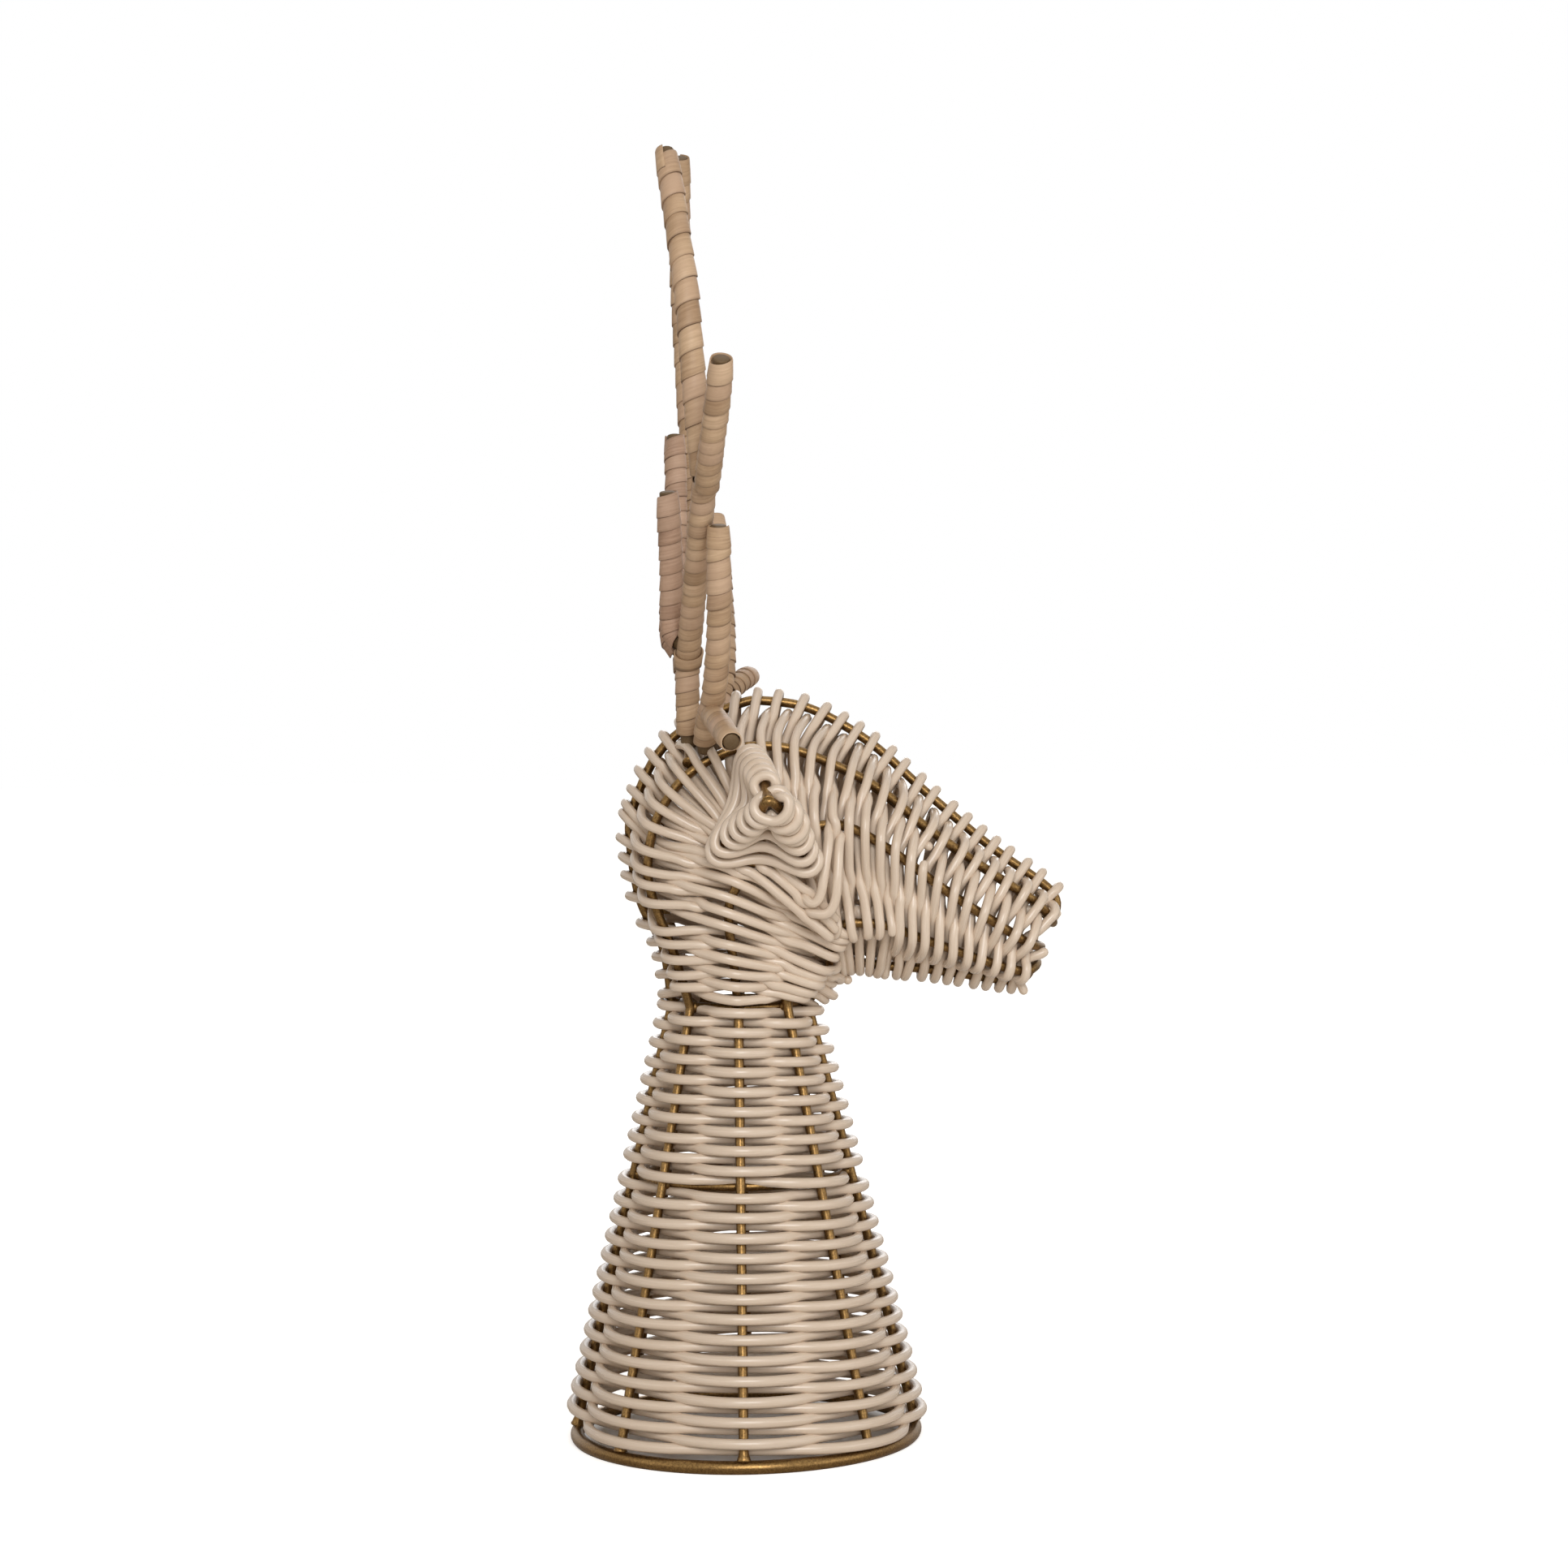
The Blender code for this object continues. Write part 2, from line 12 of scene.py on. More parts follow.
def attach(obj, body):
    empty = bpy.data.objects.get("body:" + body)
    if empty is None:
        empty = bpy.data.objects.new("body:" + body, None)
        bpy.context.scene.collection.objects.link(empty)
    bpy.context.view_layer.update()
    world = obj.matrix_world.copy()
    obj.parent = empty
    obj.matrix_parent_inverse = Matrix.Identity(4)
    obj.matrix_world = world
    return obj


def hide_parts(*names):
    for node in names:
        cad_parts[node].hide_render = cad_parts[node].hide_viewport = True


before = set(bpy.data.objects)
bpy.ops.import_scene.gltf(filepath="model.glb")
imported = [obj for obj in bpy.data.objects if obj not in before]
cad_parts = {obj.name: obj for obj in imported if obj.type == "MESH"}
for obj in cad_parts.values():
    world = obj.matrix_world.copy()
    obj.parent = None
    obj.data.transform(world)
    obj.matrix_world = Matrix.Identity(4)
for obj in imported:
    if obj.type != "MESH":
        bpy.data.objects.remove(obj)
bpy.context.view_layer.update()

# Sizes are in millimetres from the base ring's centre, +X to the nose, until a sheet is made
MM = 0.001
MIDDLE = Vector((-23.7, 0, 0))
SEED = 7
SIDES = ("right", "left")

# Neck
RIBS = 8
BASE_RADIUS = 53.5
TOP_RADIUS = 21.5
NECK_HEIGHT = 137.0
BASE_RING_WIRE = 4.4
BASE_RING_FLAT = 0.5
MID_RING_HEIGHT = 83.0
WIRE = 3.0
CANE = 3.0
NECK_CANE = 3.3
NECK_PITCH = 5.92  # rise of one strand in one turn
NECK_FIRST_ROW = 9.3  # height of the upper strand's first pass outside the right rib
NECK_START = -2.6  # step round the neck, in eighths, where both strands start
NECK_ENDS = (173.0, 174.2)  # and where they stop
NECK_INNER = 0.94  # reach inside a rib, as a share of that outside
NECK_BOW = 0.82  # below 1, longer at full reach
NECK_WOBBLE = 0.16  # how far a row strays up or down
NECK_LOWEST = BASE_RING_WIRE + 0.9  # strands' middles stay above this
NECK_WAVER = (0.03, 0.07)  # change of radius, and its pace, as on the head
RING_ROOM = 2.0  # extra height between the rows beside the mid ring
RING_ROOM_FROM = 81.5  # height where it starts
RING_ROOM_OVER = 2.8  # rise over which it comes in
RIB_PAST_RING = 2.0  # how far the front ribs reach past the top ring

# Welds
RING_SINK = 0.2  # how far a ring sinks into the ribs
RING_BEAD = [1.5, 1.75, 1.9, 1.9, 1.7, 1.2]  # radii from ring to rib
RING_BEAD_STEP = 0.5
BEAD_REACH = 1.3  # length in which a wire's swelling dies away
FOOT_BEAD = 0.7  # how far a wire swells at the base ring
RIB_TOP_BEAD = 0.6
JAW_BEAD = 0.4
BAR_BEAD = 0.5
EAR_BEADS = (0.2, 0.5)  # at the ridge wire's foot and tip

# Head wires, from the centre of the neck's top: forward, left, up
SPINE = [(-24, 0, 18), (-31, 0, 33), (-34, 0, 52), (-33, 0, 62), (-25.5, 0, 78.5), (-14.5, 0, 88.5),
         (1, 0, 95), (9, 0, 96), (24.5, 0, 93), (43, 0, 82), (61, 0, 65.5), (80, 0, 49), (97, 0, 36.5),
         (101, 0, 31.5), (101, 0, 27.8)]
TEMPLE = [(-20.5, -19, 19), (-26, -21, 34), (-27.5, -22, 45), (-25, -22.5, 58), (-18.5, -23, 69),
          (-11, -23, 75.5), (-1.5, -22, 80), (7.5, -21, 81.5), (20.5, -20, 79.5), (42, -17.5, 69.5),
          (60.5, -15, 54.5), (80, -12, 40.5), (94, -9, 31), (98.5, -5, 26)]
TEMPLE_BOW = (100, 0, 24)
CHEEK = [(-1, -26, 12), (-2.5, -31, 30), (0, -32.5, 38), (3.5, -33, 43), (13.5, -33, 51), (25.5, -32, 56.5),
         (36, -29.5, 55.5), (50, -26, 47), (66.5, -21, 34.5), (86, -15, 21.5), (92, -11.5, 18),
         (95, -6, 16.8)]
CHEEK_BOW = (96, 0, 16.5)
THROAT = [(26, 0, 5.5), (30, 0, 10.5), (36, 0, 12.5), (47.5, 0, 11), (59, 0, 10), (72, 0, 8), (86, 0, 5.8),
          (90.5, 0, 6.6), (92.2, 0, 8.4)]
JAW = [(27.8, -2.4, 8.2), (28.5, -12, 13), (30, -20, 21), (33, -23, 25.5), (38, -23, 26), (46.5, -21.5, 25),
       (59, -18, 20), (79, -13.5, 12.5), (89.5, -10, 9.4), (93.4, -6, 10.4)]
JAW_BOW = (94.7, 0, 11.6)
NAPE_JAW = [(15.2, -15.2, 0), (20, -16, 6)] + JAW[2:]  # where rows of the nape cross the jaw
FACE_JAW = [(22, -29, 36), (26.5, -27, 30)] + JAW[3:]  # and rows of the face
ANTLER_BAR = [(-14.3, -22.4, 76.6), (-14.3, -12, 82.2), (-14.3, 0, 84.8)]

# Head weave
THROAT_RAIL = 4  # rails count from the spine down the right side
HALF_ROW = 0.5  # rise of a strand from one end rail to the other
ROW_TURN = 0.1  # it turns back this far below the next half row
ROW_SLACK = 0.01  # for rounding
HEAD_REACH = WIRE / 2 + CANE / 2  # from a wire's middle to a strand's
CROSSING_SLIP = 0.75  # how far a crossing strays along its rail
CROSSING_LIFT = 0.3  # and stands off it
NAPE_ROWS = 16
# Marks are (row, length along the rail), for spine, temple, cheek, jaw and throat
NAPE_MARKS = ([(0, 1), (15, 92.4), (16, 98)], [(0, 3), (10, 54), (14, 77), (16, 88.5)],
              [(0, 3.5), (8, 38), (11, 50), (16, 53)], [(0, 4), (5, 17), (10, 31.5)],
              [(0, 1), (5.5, 18)])
NAPE_ROUND = 5  # rows that go right round the throat
NAPE_SHORT_FROM = NAPE_ROUND + 0.8
NAPE_SHORT = 9.8  # rows up to this one turn back at the jaw wire, the rest at the cheek wires
NAPE_LAYERS = (0, 0, 0.2, 0.7, 1.3, 0.7, 0.2, 0)  # how far rows pile up on each rail
PILE_ROWS = 3  # rows after which a pile starts again
FACE_ENDS = (20.25, 20.4)  # rows where the two strands stop
FACE_MARKS = ([(0, 113.1), (5, 147), (11, 182.6), (19, 231.6)],
              [(0, 93), (1.5, 101.5), (5.5, 123.8), (7.5, 137), (19.5, 209.8)],
              [(0, 52), (5, 71), (8, 86.3), (12, 108.3), (19, 150.1)],
              [(3, 0.5), (9.5, 31), (12, 40.5), (19.5, 76.4)], [(6, 16.5), (12, 37.5), (19, 67.3)])
FACE_TOP = 2.5  # rows up to this one turn back at the cheek wires
FACE_SHORT = 9.5  # and up to this one at the jaw
UNDER_FROM = 5.5  # first row of the strand under the jaw
CHEEK_TO_CHEEK = [2, 1, 0, 7, 6]  # rails over the head
JAW_TO_JAW = [3, 2, 1, 0, 7, 6, 5]
UNDER_JAW = [3, 4, 5]
FACE_CUT = 22  # points of the upper strand before its cut on the right cheek
FACE_CUT_SHARE = 0.3  # how far the cut end reaches to the next point
# Cut ends at the nose and the chin
STUBS = [[(86, -7, 29), (94, -6, 28.2), (100.6, -6, 27.2)],
         [(84, -5, 13), (88, -5, 7), (89.9, -5.5, 3)]]
# Three strands from under an ear to the back of the jaw, and two that turn back in front of them
UNDER_EAR = [
    [(-3, -28, 46.5), (0.5, -36, 45.5), (7.1, -37, 41.1), (16.9, -36, 32.7), (25, -33, 25.4),
     (29, -30, 21.7)],
    [(3.5, -28.5, 50), (6, -36, 46.2), (12.1, -38, 41.8), (20.6, -36.5, 34.1),
     (27.5, -33, 27.9), (30.5, -30, 24.2)],
    [(10, -28.5, 50), (11.5, -36, 45.5), (16.3, -38, 41.2), (23.9, -36, 34.5),
     (28.5, -33, 29.9), (30.6, -30, 27.7)],
    [(29.6, -29, 58.7), (28.6, -37, 51.9), (26.9, -39, 40.8), (25.8, -38.5, 35.1),
     (23.8, -38, 32.4), (21.1, -37, 33.9), (18.2, -33, 37)],
    [(32.5, -28, 56.6), (31.8, -36, 50.6), (31.1, -38.5, 40.7), (30.3, -38, 33.3),
     (27.7, -37.5, 29.3), (24.5, -37, 29.9), (20.6, -32, 32.4)]]
NAPE_PASSING = ({1, 2}, {2, 3}, {7, 6}, {6, 5})  # rails between which strands lie side by side
FACE_PASSING = ({1, 2}, {7, 6})
PASSING_OUT = (0.2, 3)  # how far they bow out there
PASSING_LATE = (0.5, 0.68)  # share of the way where a strand from outside bows out
PASSING_EARLY = (0.32, 0.5)  # and one from inside
HEAD_WAVER = (0.045, 0.09)
WAVER_STARTS = 6
SETTLE_ROUNDS = 8
SETTLE_CLEAR = 0.8  # share of the thickness kept between strands' middles
SETTLE_NEAR = 7  # points of one strand that may lie closer
SETTLE_SHARE = 0.5  # share of a push that each of two strands takes
SETTLE_PUSH = 1.4  # above 1, strands come clear in fewer rounds
SETTLE_SMOOTH = 0.25  # pull to the middle of a point's neighbours
SETTLE_HOME = 0.03  # pull to its first place

# Ears
EAR_WIRES = 3
EAR_TIP = (10.5, -64, 64.8)
EAR_RIDGE = [(5.5, -25, 80.5), (5.4, -35, 77), (7.4, -46, 73.5), (9.4, -56, 69.6)]
EAR_BOW_BACK = [(6, -36.5, 45.5), (-4.2, -39.5, 49.5), (-0.5, -45, 54), (3.5, -51, 57.3), (7.8, -58.5, 61)]
EAR_BOW_FRONT = [(20, -36.2, 54.3), (22, -41, 46), (20.2, -46.5, 49.6), (18.2, -52, 55.4), (15, -58.5, 61)]
EAR_FROM = (0.25, 0.22, 0.19)  # first row, as shares of the ridge, back and front wires
EAR_TO = (0.9, 0.9, 0.9)  # and last row
EAR_ROWS = 6
EAR_CANE = 3.2
EAR_BULGE_BASE = (0.3, 0.15, 0.0)  # how far the sides swell between wires
EAR_BULGE_TIP = -0.7
EAR_LOOP = 4.0  # from a wire's middle to the strand that goes round it
EAR_TURNS = [-75, -35, 0, 35, 75]  # degrees round a wire at the strand's points
EAR_WRAPS = 3  # rows at the tip that go once more round the front wire
EAR_WRAP_TURNS = [125, 180, 235, 290, 330, 360, 395, 435]  # further points of these
EAR_WRAP_CLIMB = 3.4  # climb along the wire in such a round
EAR_LOOSE = 0.4  # how far these stand off the wire on the ear's inner side

# Antlers
ROD = 5.0
STRIP_THICK = 0.45
STRIP_ROOM = 0.35  # glue between rod and strip
STRIP_PITCH = 4.7
TOP_PITCH = 7.0  # the antlers' tops have longer turns
STRIP_LAP = 1.9
RIM = 0.5  # how far a strip reaches past the rod's end
STRIP_LIFT = 0.5  # how far a turn's lower edge rides up on the one below
STRIP_SHOULDER = 0.22  # from a strip's lower edge to its full thickness
STRIP_TOE = 0.05  # height of its upper edge above the rod's glue
STRIP_SLACK = (-0.12, 0.16)  # how far turns stand off the rod; below 0 they lie close
STRIP_SKEW = 0.6  # how far a turn strays along the rod
STRIP_SPIN = 6.28  # a strip starts anywhere round the rod
STRIP_RUN_OUT = 4.0  # straight run past a rod's end, for the last turn
STRIP_ACROSS = ROD + 1.5  # width across a turn, for lengths along the strip
STEM_BARE = 4.0  # from each rod's foot to its strip
REAR_BARE = 1.5
OUTER_BARE = 1.0
FRONT_BARE = 2.5
BROW_BARE = 0.5
STEM_STOP = 2.0  # the stem strip ends this far below the rear fork
BEAM_BELOW = 3.0  # the beam strip starts this far below it
BEAM_ABOVE = 4.0  # and ends this far above the outer fork
TOP_ABOVE = 1.0  # the top strip starts this far above it
BINDING_BELOW = 4.0  # from the rear fork down to its binding
BINDING_SECTION = [(-2.6, 1.3), (-2.4, 1.75), (0, 1.95), (2.4, 2.15), (2.6, 1.7), (0, 1.4)]
BINDING_TILT = 0.7
BINDING_SPACING = 0.7  # between its sections
BEAM_RIGHT = [(-14.3, -18, 82), (-14.3, -20, 89), (-14.3, -22, 98), (-13.8, -25, 109), (-12, -36, 122),
              (-10, -50, 136), (-8.4, -62, 147), (-7, -73, 158), (-8, -80, 171), (-9.4, -83, 192),
              (-11, -80, 214), (-13, -74, 229.5), (-15, -67, 245), (-17, -60, 258.5)]
BEAM_LEFT = [(-14.3, 18, 82), (-15.3, 20, 89), (-16, 22, 98), (-16, 25, 108), (-15, 38, 126),
             (-14.6, 50, 142), (-14.5, 62, 157.5), (-14.6, 73, 175), (-15.6, 80, 192), (-16.8, 83, 215),
             (-17.7, 80, 240), (-17.5, 72, 261), (-16.6, 60, 281)]
REAR_RIGHT = [(-18.6, -24.5, 118), (-18.4, -31, 137), (-19, -37, 159)]
REAR_LEFT = [(-21.2, 27.5, 119), (-19.6, 34, 145), (-19, 38, 165), (-19.3, 41, 185)]
OUTER_RIGHT = [(-4.2, -88, 167), (-2, -99, 179), (-0.5, -107, 190)]
OUTER_LEFT = [(-14, 88, 187), (-13.5, 98, 202), (-13.5, 107, 213)]
FRONT_RIGHT = [(-9, -23.2, 80.2), (-8.8, -25.5, 84), (-8, -32, 89), (-5.6, -41, 98), (-3.9, -52, 112),
               (-3.2, -60, 126), (-3, -67, 146)]
FRONT_LEFT = [(-9, 23.2, 80.2), (-8, 25.5, 84.5), (-6.4, 32, 93), (-4.2, 42, 105), (-4, 51, 121),
              (-5, 59, 138), (-6.8, 67, 160)]
BROW_RIGHT = [(-3, -54, 86.5), (-0.2, -66, 82.5)]
BROW_LEFT = [(1.4, 54, 104), (4.5, 64, 106)]
REAR_FORK = 112.0
OUTER_FORK = {"right": 158.0, "left": 175.0}
BROW_FORK = {"right": 93.0, "left": 101.0}

# Camera: a level view of the right side, with the picture's slight roll
PHOTO_PIXELS = 1932
FOCAL_PIXELS = 3650
HORIZON_PIXEL = 945
CAMERA_PLACE = (-0.0084, -0.942, 0.2118)
CAMERA_ROLL = -0.9
SENSOR = 36.0
CLIP_START = 0.05

# How finely pieces are drawn
SPAN_STEPS = 8  # short lines between two points of a wire
RAIL_STEPS = 10  # and of a rail or a strand
CANE_STEPS = 2  # and of a settled strand
WIRE_SPACING = 1.2
STRAND_SPACING = 1.3
CANE_SPACING = 1.0
STRIP_SPACING = 0.8
WIRE_SIDES = 14
CANE_SIDES = 12
BASE_RING_CORNERS = 17
BASE_RING_STEPS = 160
RING_STEPS = 120
NECK_STEPS = 14  # points of a strand from rib to rib
STRIP_STEPS = 22  # sections in one turn
BINDING_STEPS = 40
# Sections past a strand's end, as shares of its radius: how far out, and how wide
ROUND_END = [(0.45, 0.89), (0.8, 0.6), (0.97, 0.24)]
CUT_END = [(0.1, 0.97), (0.18, 0.86)]

# Cane look
CANE_PALE = (0.72, 0.605, 0.49)
CANE_MID = (0.70, 0.577, 0.455)
CANE_DARK = (0.64, 0.51, 0.385)
CANE_WARM = (0.66, 0.53, 0.40)
CANE_RAMP = [(0.25, CANE_DARK), (0.55, CANE_MID), (0.8, CANE_PALE)]
CANE_STREAKS = (0.05, 9.0)  # scale along a strand and round it, as for strips
CANE_PATCHES = 55.0  # scale in a metre, as for bronze
CANE_WARMER = 0.35  # how far patches go to the warm colour
CANE_DARKER = 0.3  # how far a strand's tint goes to the dark one
CANE_ROUGH = (0.2, 0.34)
CANE_BUMP = (0.02, 0.0004)  # strength and depth

# Bronze look
BRONZE_PALE = (0.40, 0.24, 0.082)
BRONZE_MID = (0.26, 0.15, 0.05)
BRONZE_DARK = (0.11, 0.06, 0.02)
BRONZE_RAMP = [(0.3, BRONZE_DARK), (0.55, BRONZE_MID), (0.8, BRONZE_PALE)]
BRONZE_FLECKS = 1800.0
BRONZE_PATCHES = 90.0
BRONZE_WORN = 0.6
BRONZE_METAL = 0.9
BRONZE_ROUGH = (0.28, 0.42)
BRONZE_BUMP = (0.12, 0.0002)
ROD_END = (0.13, 0.082, 0.036)
ROD_RAMP = [(0.3, BRONZE_DARK), (0.7, ROD_END)]
ROD_METAL = 0.3
ROD_ROUGH = 0.6

# Strip look
STRIP_COLOURS = [(0.28, 0.168, 0.09), (0.48, 0.322, 0.192), (0.66, 0.475, 0.305)]
STRIP_GRAIN = 0.25
REAR_COLOURS = [(0.25, 0.145, 0.09), (0.45, 0.285, 0.19), (0.62, 0.43, 0.31)]
REAR_GRAIN = 0.45
GRAIN_DEPTH = 0.0005
# Painted shade along each turn's lower edge, where the turn laps over the one below
STRIP_EDGE_SHADE = (0.11, 0.062, 0.033)
STRIP_ROSE = (0.53, 0.36, 0.25)
STRIP_FIBRES = (0.09, 34.0)
STRIP_TURNS = (0.045, 0.6)
STRIP_HUES = (0.021, 0.3)
# Scale of the patches that make that painted edge shade stronger or weaker
EDGE_SHADE_PATCHES = (0.06, 0.0)
TURN_STOPS = (0.34, 0.48, 0.66)
FIBRE_STOPS = (0.3, 0.5, 0.7)
FIBRE_SHARE = 0.5
ROSE_RAMP = [(0.45, 0), (0.62, 0.6)]
# How strongly those patches make the painted edge shade show
EDGE_SHADE_PATCH_RAMP = [(0.42, 0.25), (0.6, 1)]
# Where the painted edge shade lies round the strip's section, counted from its lower edge
EDGE_SHADE_RAMP = [(0.2, 0.9), (0.275, 0)]
STRIP_ROUGH = 0.52
STRIP_SHINE = 0.35

# Light and floor, in metres and watts
FILL_COLOUR = (1.0, 0.74, 0.46)
FILL_STRENGTH = 0.19
WHITE = (1, 1, 1)
LAMP_COLOUR = (0.98, 1.0, 1.03)
LAMP_AIM = (0, 0, 0.2)
LAMPS = [("key", (0.12, -1.6, 0.8), 0.8, 17.2), ("right", (1.2, -0.7, 0.35), 0.8, 3.6),
         ("left", (-1.2, -0.7, 0.35), 0.8, 1.3), ("top", (0.0, 0.15, 1.5), 1.0, 2.5),
         ("back", (0.2, 1.6, 0.8), 0.9, 5.0)]  # place, width and power
FLOOR_COLOUR = (0.9, 0.9, 0.9)
FLOOR_ROUGH = 0.9
FLOOR_REACH = 60.0
FLOOR_RAMP = [(0.048, 0), (0.056, 0.7), (0.14, 0.7), (0.5, 1)]  # glow by distance from the ring's centre


def mirrored(points):
    return [Vector((p[0], -p[1], p[2])) for p in points]


def on_neck(points):
    """Points given from the centre of the neck's top."""
    return [Vector(p) + Vector((0, 0, NECK_HEIGHT)) for p in points]


def smooth(points, steps=SPAN_STEPS):
    """A smooth path through the points, with this many short lines in each span."""
    points = [Vector(p) for p in points]
    path = []
    for i in range(len(points) - 1):
        before = points[max(i - 1, 0)]
        after = points[min(i + 2, len(points) - 1)]
        start, end = points[i], points[i + 1]
        for step in range(steps):
            t = step / steps
            leave = (end - before) * 0.5
            reach = (after - start) * 0.5
            path.append((2 * t**3 - 3 * t**2 + 1) * start + (t**3 - 2 * t**2 + t) * leave
                        + (3 * t**2 - 2 * t**3) * end + (t**3 - t**2) * reach)
    path.append(points[-1])
    return path


def walked(path):
    """The length along a path at each of its points."""
    lengths = [0.0]
    for a, b in zip(path, path[1:]):
        lengths.append(lengths[-1] + (b - a).length)
    return lengths


def length_of(path):
    return walked(path)[-1]


def at_length(path, length):
    """The point and the direction at this length along a path."""
    for a, b in zip(path, path[1:]):
        step = (b - a).length
        if length <= step or b is path[-1]:
            return a + (b - a) * (length / step), (b - a).normalized()
        length -= step


def even(path, spacing):
    """The path again, with points at even steps along it."""
    lengths = walked(path)
    count = max(2, round(lengths[-1] / spacing))
    points = []
    i = 0
    for step in range(count + 1):
        want = lengths[-1] * step / count
        while i < len(path) - 2 and lengths[i + 1] < want:
            i += 1
        span = (path[i + 1] - path[i]).length
        points.append(path[i].lerp(path[i + 1], min(1, (want - lengths[i]) / span) if span else 0))
    return points


def blend(values, i, share):
    """A value between one of a list and the next."""
    return values[i] * (1 - share) + values[i + 1] * share


def square_to(way, side):
    """The part of a direction that is square to another one."""
    return (side - way * side.dot(way)).normalized()


def round_spot(radius, turn, height):
    return Vector((radius * cos(turn), radius * sin(turn), height))


def side_vectors(path):
    """Two directions across a path and one along it at each point, without twist."""
    frames = []
    first = (path[1] - path[0]).orthogonal().normalized()
    for i in range(len(path)):
        ahead = (path[min(i + 1, len(path) - 1)] - path[max(i - 1, 0)]).normalized()
        first = square_to(ahead, first)
        frames.append((first, ahead.cross(first), ahead))
    return frames


class Sheet:
    """Points, faces and texture places of a mesh under way."""

    def __init__(self):
        self.points = []
        self.faces = []
        self.places = []
        self.tints = []

    def loft(self, rings, lengths, tint=0.5, closed=False):
        """Skins rings of points. A place is the length along the rings and the share round them."""
        first = len(self.points)
        around = len(rings[0])
        for ring in rings:
            self.points += ring
            self.tints += [tint] * around
        rows = len(rings) if closed else len(rings) - 1
        for r in range(rows):
            low = first + r * around
            high = first + (r + 1) % len(rings) * around
            here = lengths[r]
            ahead = lengths[r + 1] if r + 1 < len(lengths) else here + 1
            for c in range(around):
                d = (c + 1) % around
                self.faces.append((low + c, low + d, high + d, high + c))
                left = c / around
                right = (c + 1) / around
                self.places += [(here, left), (here, right), (ahead, right), (ahead, left)]
        if not closed:
            last = first + (len(rings) - 1) * around
            self.faces.append(tuple(first + c for c in reversed(range(around))))
            self.faces.append(tuple(last + c for c in range(around)))
            self.places += [(lengths[0], 0.5)] * around + [(lengths[-1], 0.5)] * around

    def tube(self, path, radii, tint=0.5, sides=CANE_SIDES, ends=CUT_END, closed=False):
        """A round strand, with a radius for each point."""
        frames = side_vectors(path)
        rings = [ring_at(*spot, sides) for spot in zip(path, frames, radii)]
        lengths = walked(path)
        total = lengths[-1]
        if not closed:
            for reach, share in ends:
                start = path[0] - frames[0][2] * reach * radii[0]
                end = path[-1] + frames[-1][2] * reach * radii[-1]
                rings.insert(0, ring_at(start, frames[0], radii[0] * share, sides))
                rings.append(ring_at(end, frames[-1], radii[-1] * share, sides))
                lengths.insert(0, -reach * radii[0])
                lengths.append(total + reach * radii[-1])
        self.loft(rings, lengths, tint, closed=closed)

    def made(self, name, material):
        mesh = bpy.data.meshes.new(name)
        mesh.from_pydata([(p + MIDDLE) * MM for p in self.points], [], self.faces)
        layer = mesh.uv_layers.new(name="along")
        layer.data.foreach_set("uv", [x for place in self.places for x in place])
        tint = mesh.attributes.new("tint", "FLOAT", "POINT")
        tint.data.foreach_set("value", self.tints)
        mesh.shade_smooth()
        mesh.materials.append(material)
        return added(name, mesh)


def added(name, data):
    """A new object in the scene."""
    thing = bpy.data.objects.new(name, data)
    bpy.context.scene.collection.objects.link(thing)
    return thing


def ring_at(place, frame_at, radius, sides):
    first, second, _ = frame_at
    turns = [2 * pi * i / sides for i in range(sides)]
    return [place + (first * cos(turn) + second * sin(turn)) * radius for turn in turns]


def keep(piece, node):
    """Fixes a piece to the frame, in place of the plain solid of that name."""
    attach(piece, "root")
    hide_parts(node)


# Materials

class Look:
    """The nodes of a material, or of the world, under way."""

    def __init__(self, owner, shader="Principled BSDF"):
        self.owner = owner
        owner.use_nodes = True
        self.nodes = owner.node_tree.nodes
        self.links = owner.node_tree.links
        self.shader = self.nodes[shader]

    def put(self, socket, value):
        """Gives an input a number, a colour, a vector or another node's output."""
        if isinstance(value, (int, float)):
            socket.default_value = value
        elif isinstance(value, tuple):
            socket.default_value = (*value, 1) if socket.type == "RGBA" else value
        else:
            self.links.new(value, socket)

    def surface(self, name, value):
        self.put(self.shader.inputs[name], value)

    def node(self, kind, output, inputs=(), **settings):
        """Adds a node, sets it, fills its inputs and returns one of its outputs."""
        node = self.nodes.new(f"ShaderNode{kind}")
        for name, value in settings.items():
            setattr(node, name, value)
        for name, value in dict(inputs).items():
            self.put(node.inputs[name], value)
        return node.outputs[output]

    def place(self):
        return self.node("TexCoord", "Object")

    def stretched(self, along, around):
        """The texture place on a strand, with its own scale along it and round it."""
        places = self.node("UVMap", "UV", uv_map="along")
        return self.node("Mapping", "Vector", {"Vector": places, "Scale": (along, around, 1)})

    def noise(self, vector, scale=1.0, detail=1.0, rough=0.55):
        return self.node("TexNoise", "Fac",
                         {"Vector": vector, "Scale": scale, "Detail": detail, "Roughness": rough})

    def mix(self, fac, first, second, kind="MIX"):
        return self.node("Mix", "Result", {"Factor": fac, "A": first, "B": second},
                         data_type="RGBA", blend_type=kind)

    def span(self, fac, low, high):
        return self.node("MapRange", "Result", {"Value": fac, "To Min": low, "To Max": high})

    def bump(self, height, strength, depth):
        inputs = {"Height": height, "Strength": strength, "Distance": depth}
        self.surface("Normal", self.node("Bump", "Normal", inputs))

    def ramp(self, fac, stops):
        """Colours, or greys given as one number, by place."""
        ramp = self.nodes.new("ShaderNodeValToRGB")
        while len(ramp.color_ramp.elements) < len(stops):
            ramp.color_ramp.elements.new(0.5)
        for element, (place, colour) in zip(ramp.color_ramp.elements, stops):
            element.position = place
            element.color = (*(colour if isinstance(colour, tuple) else (colour,) * 3), 1)
        self.put(ramp.inputs["Fac"], fac)
        return ramp.outputs["Color"]


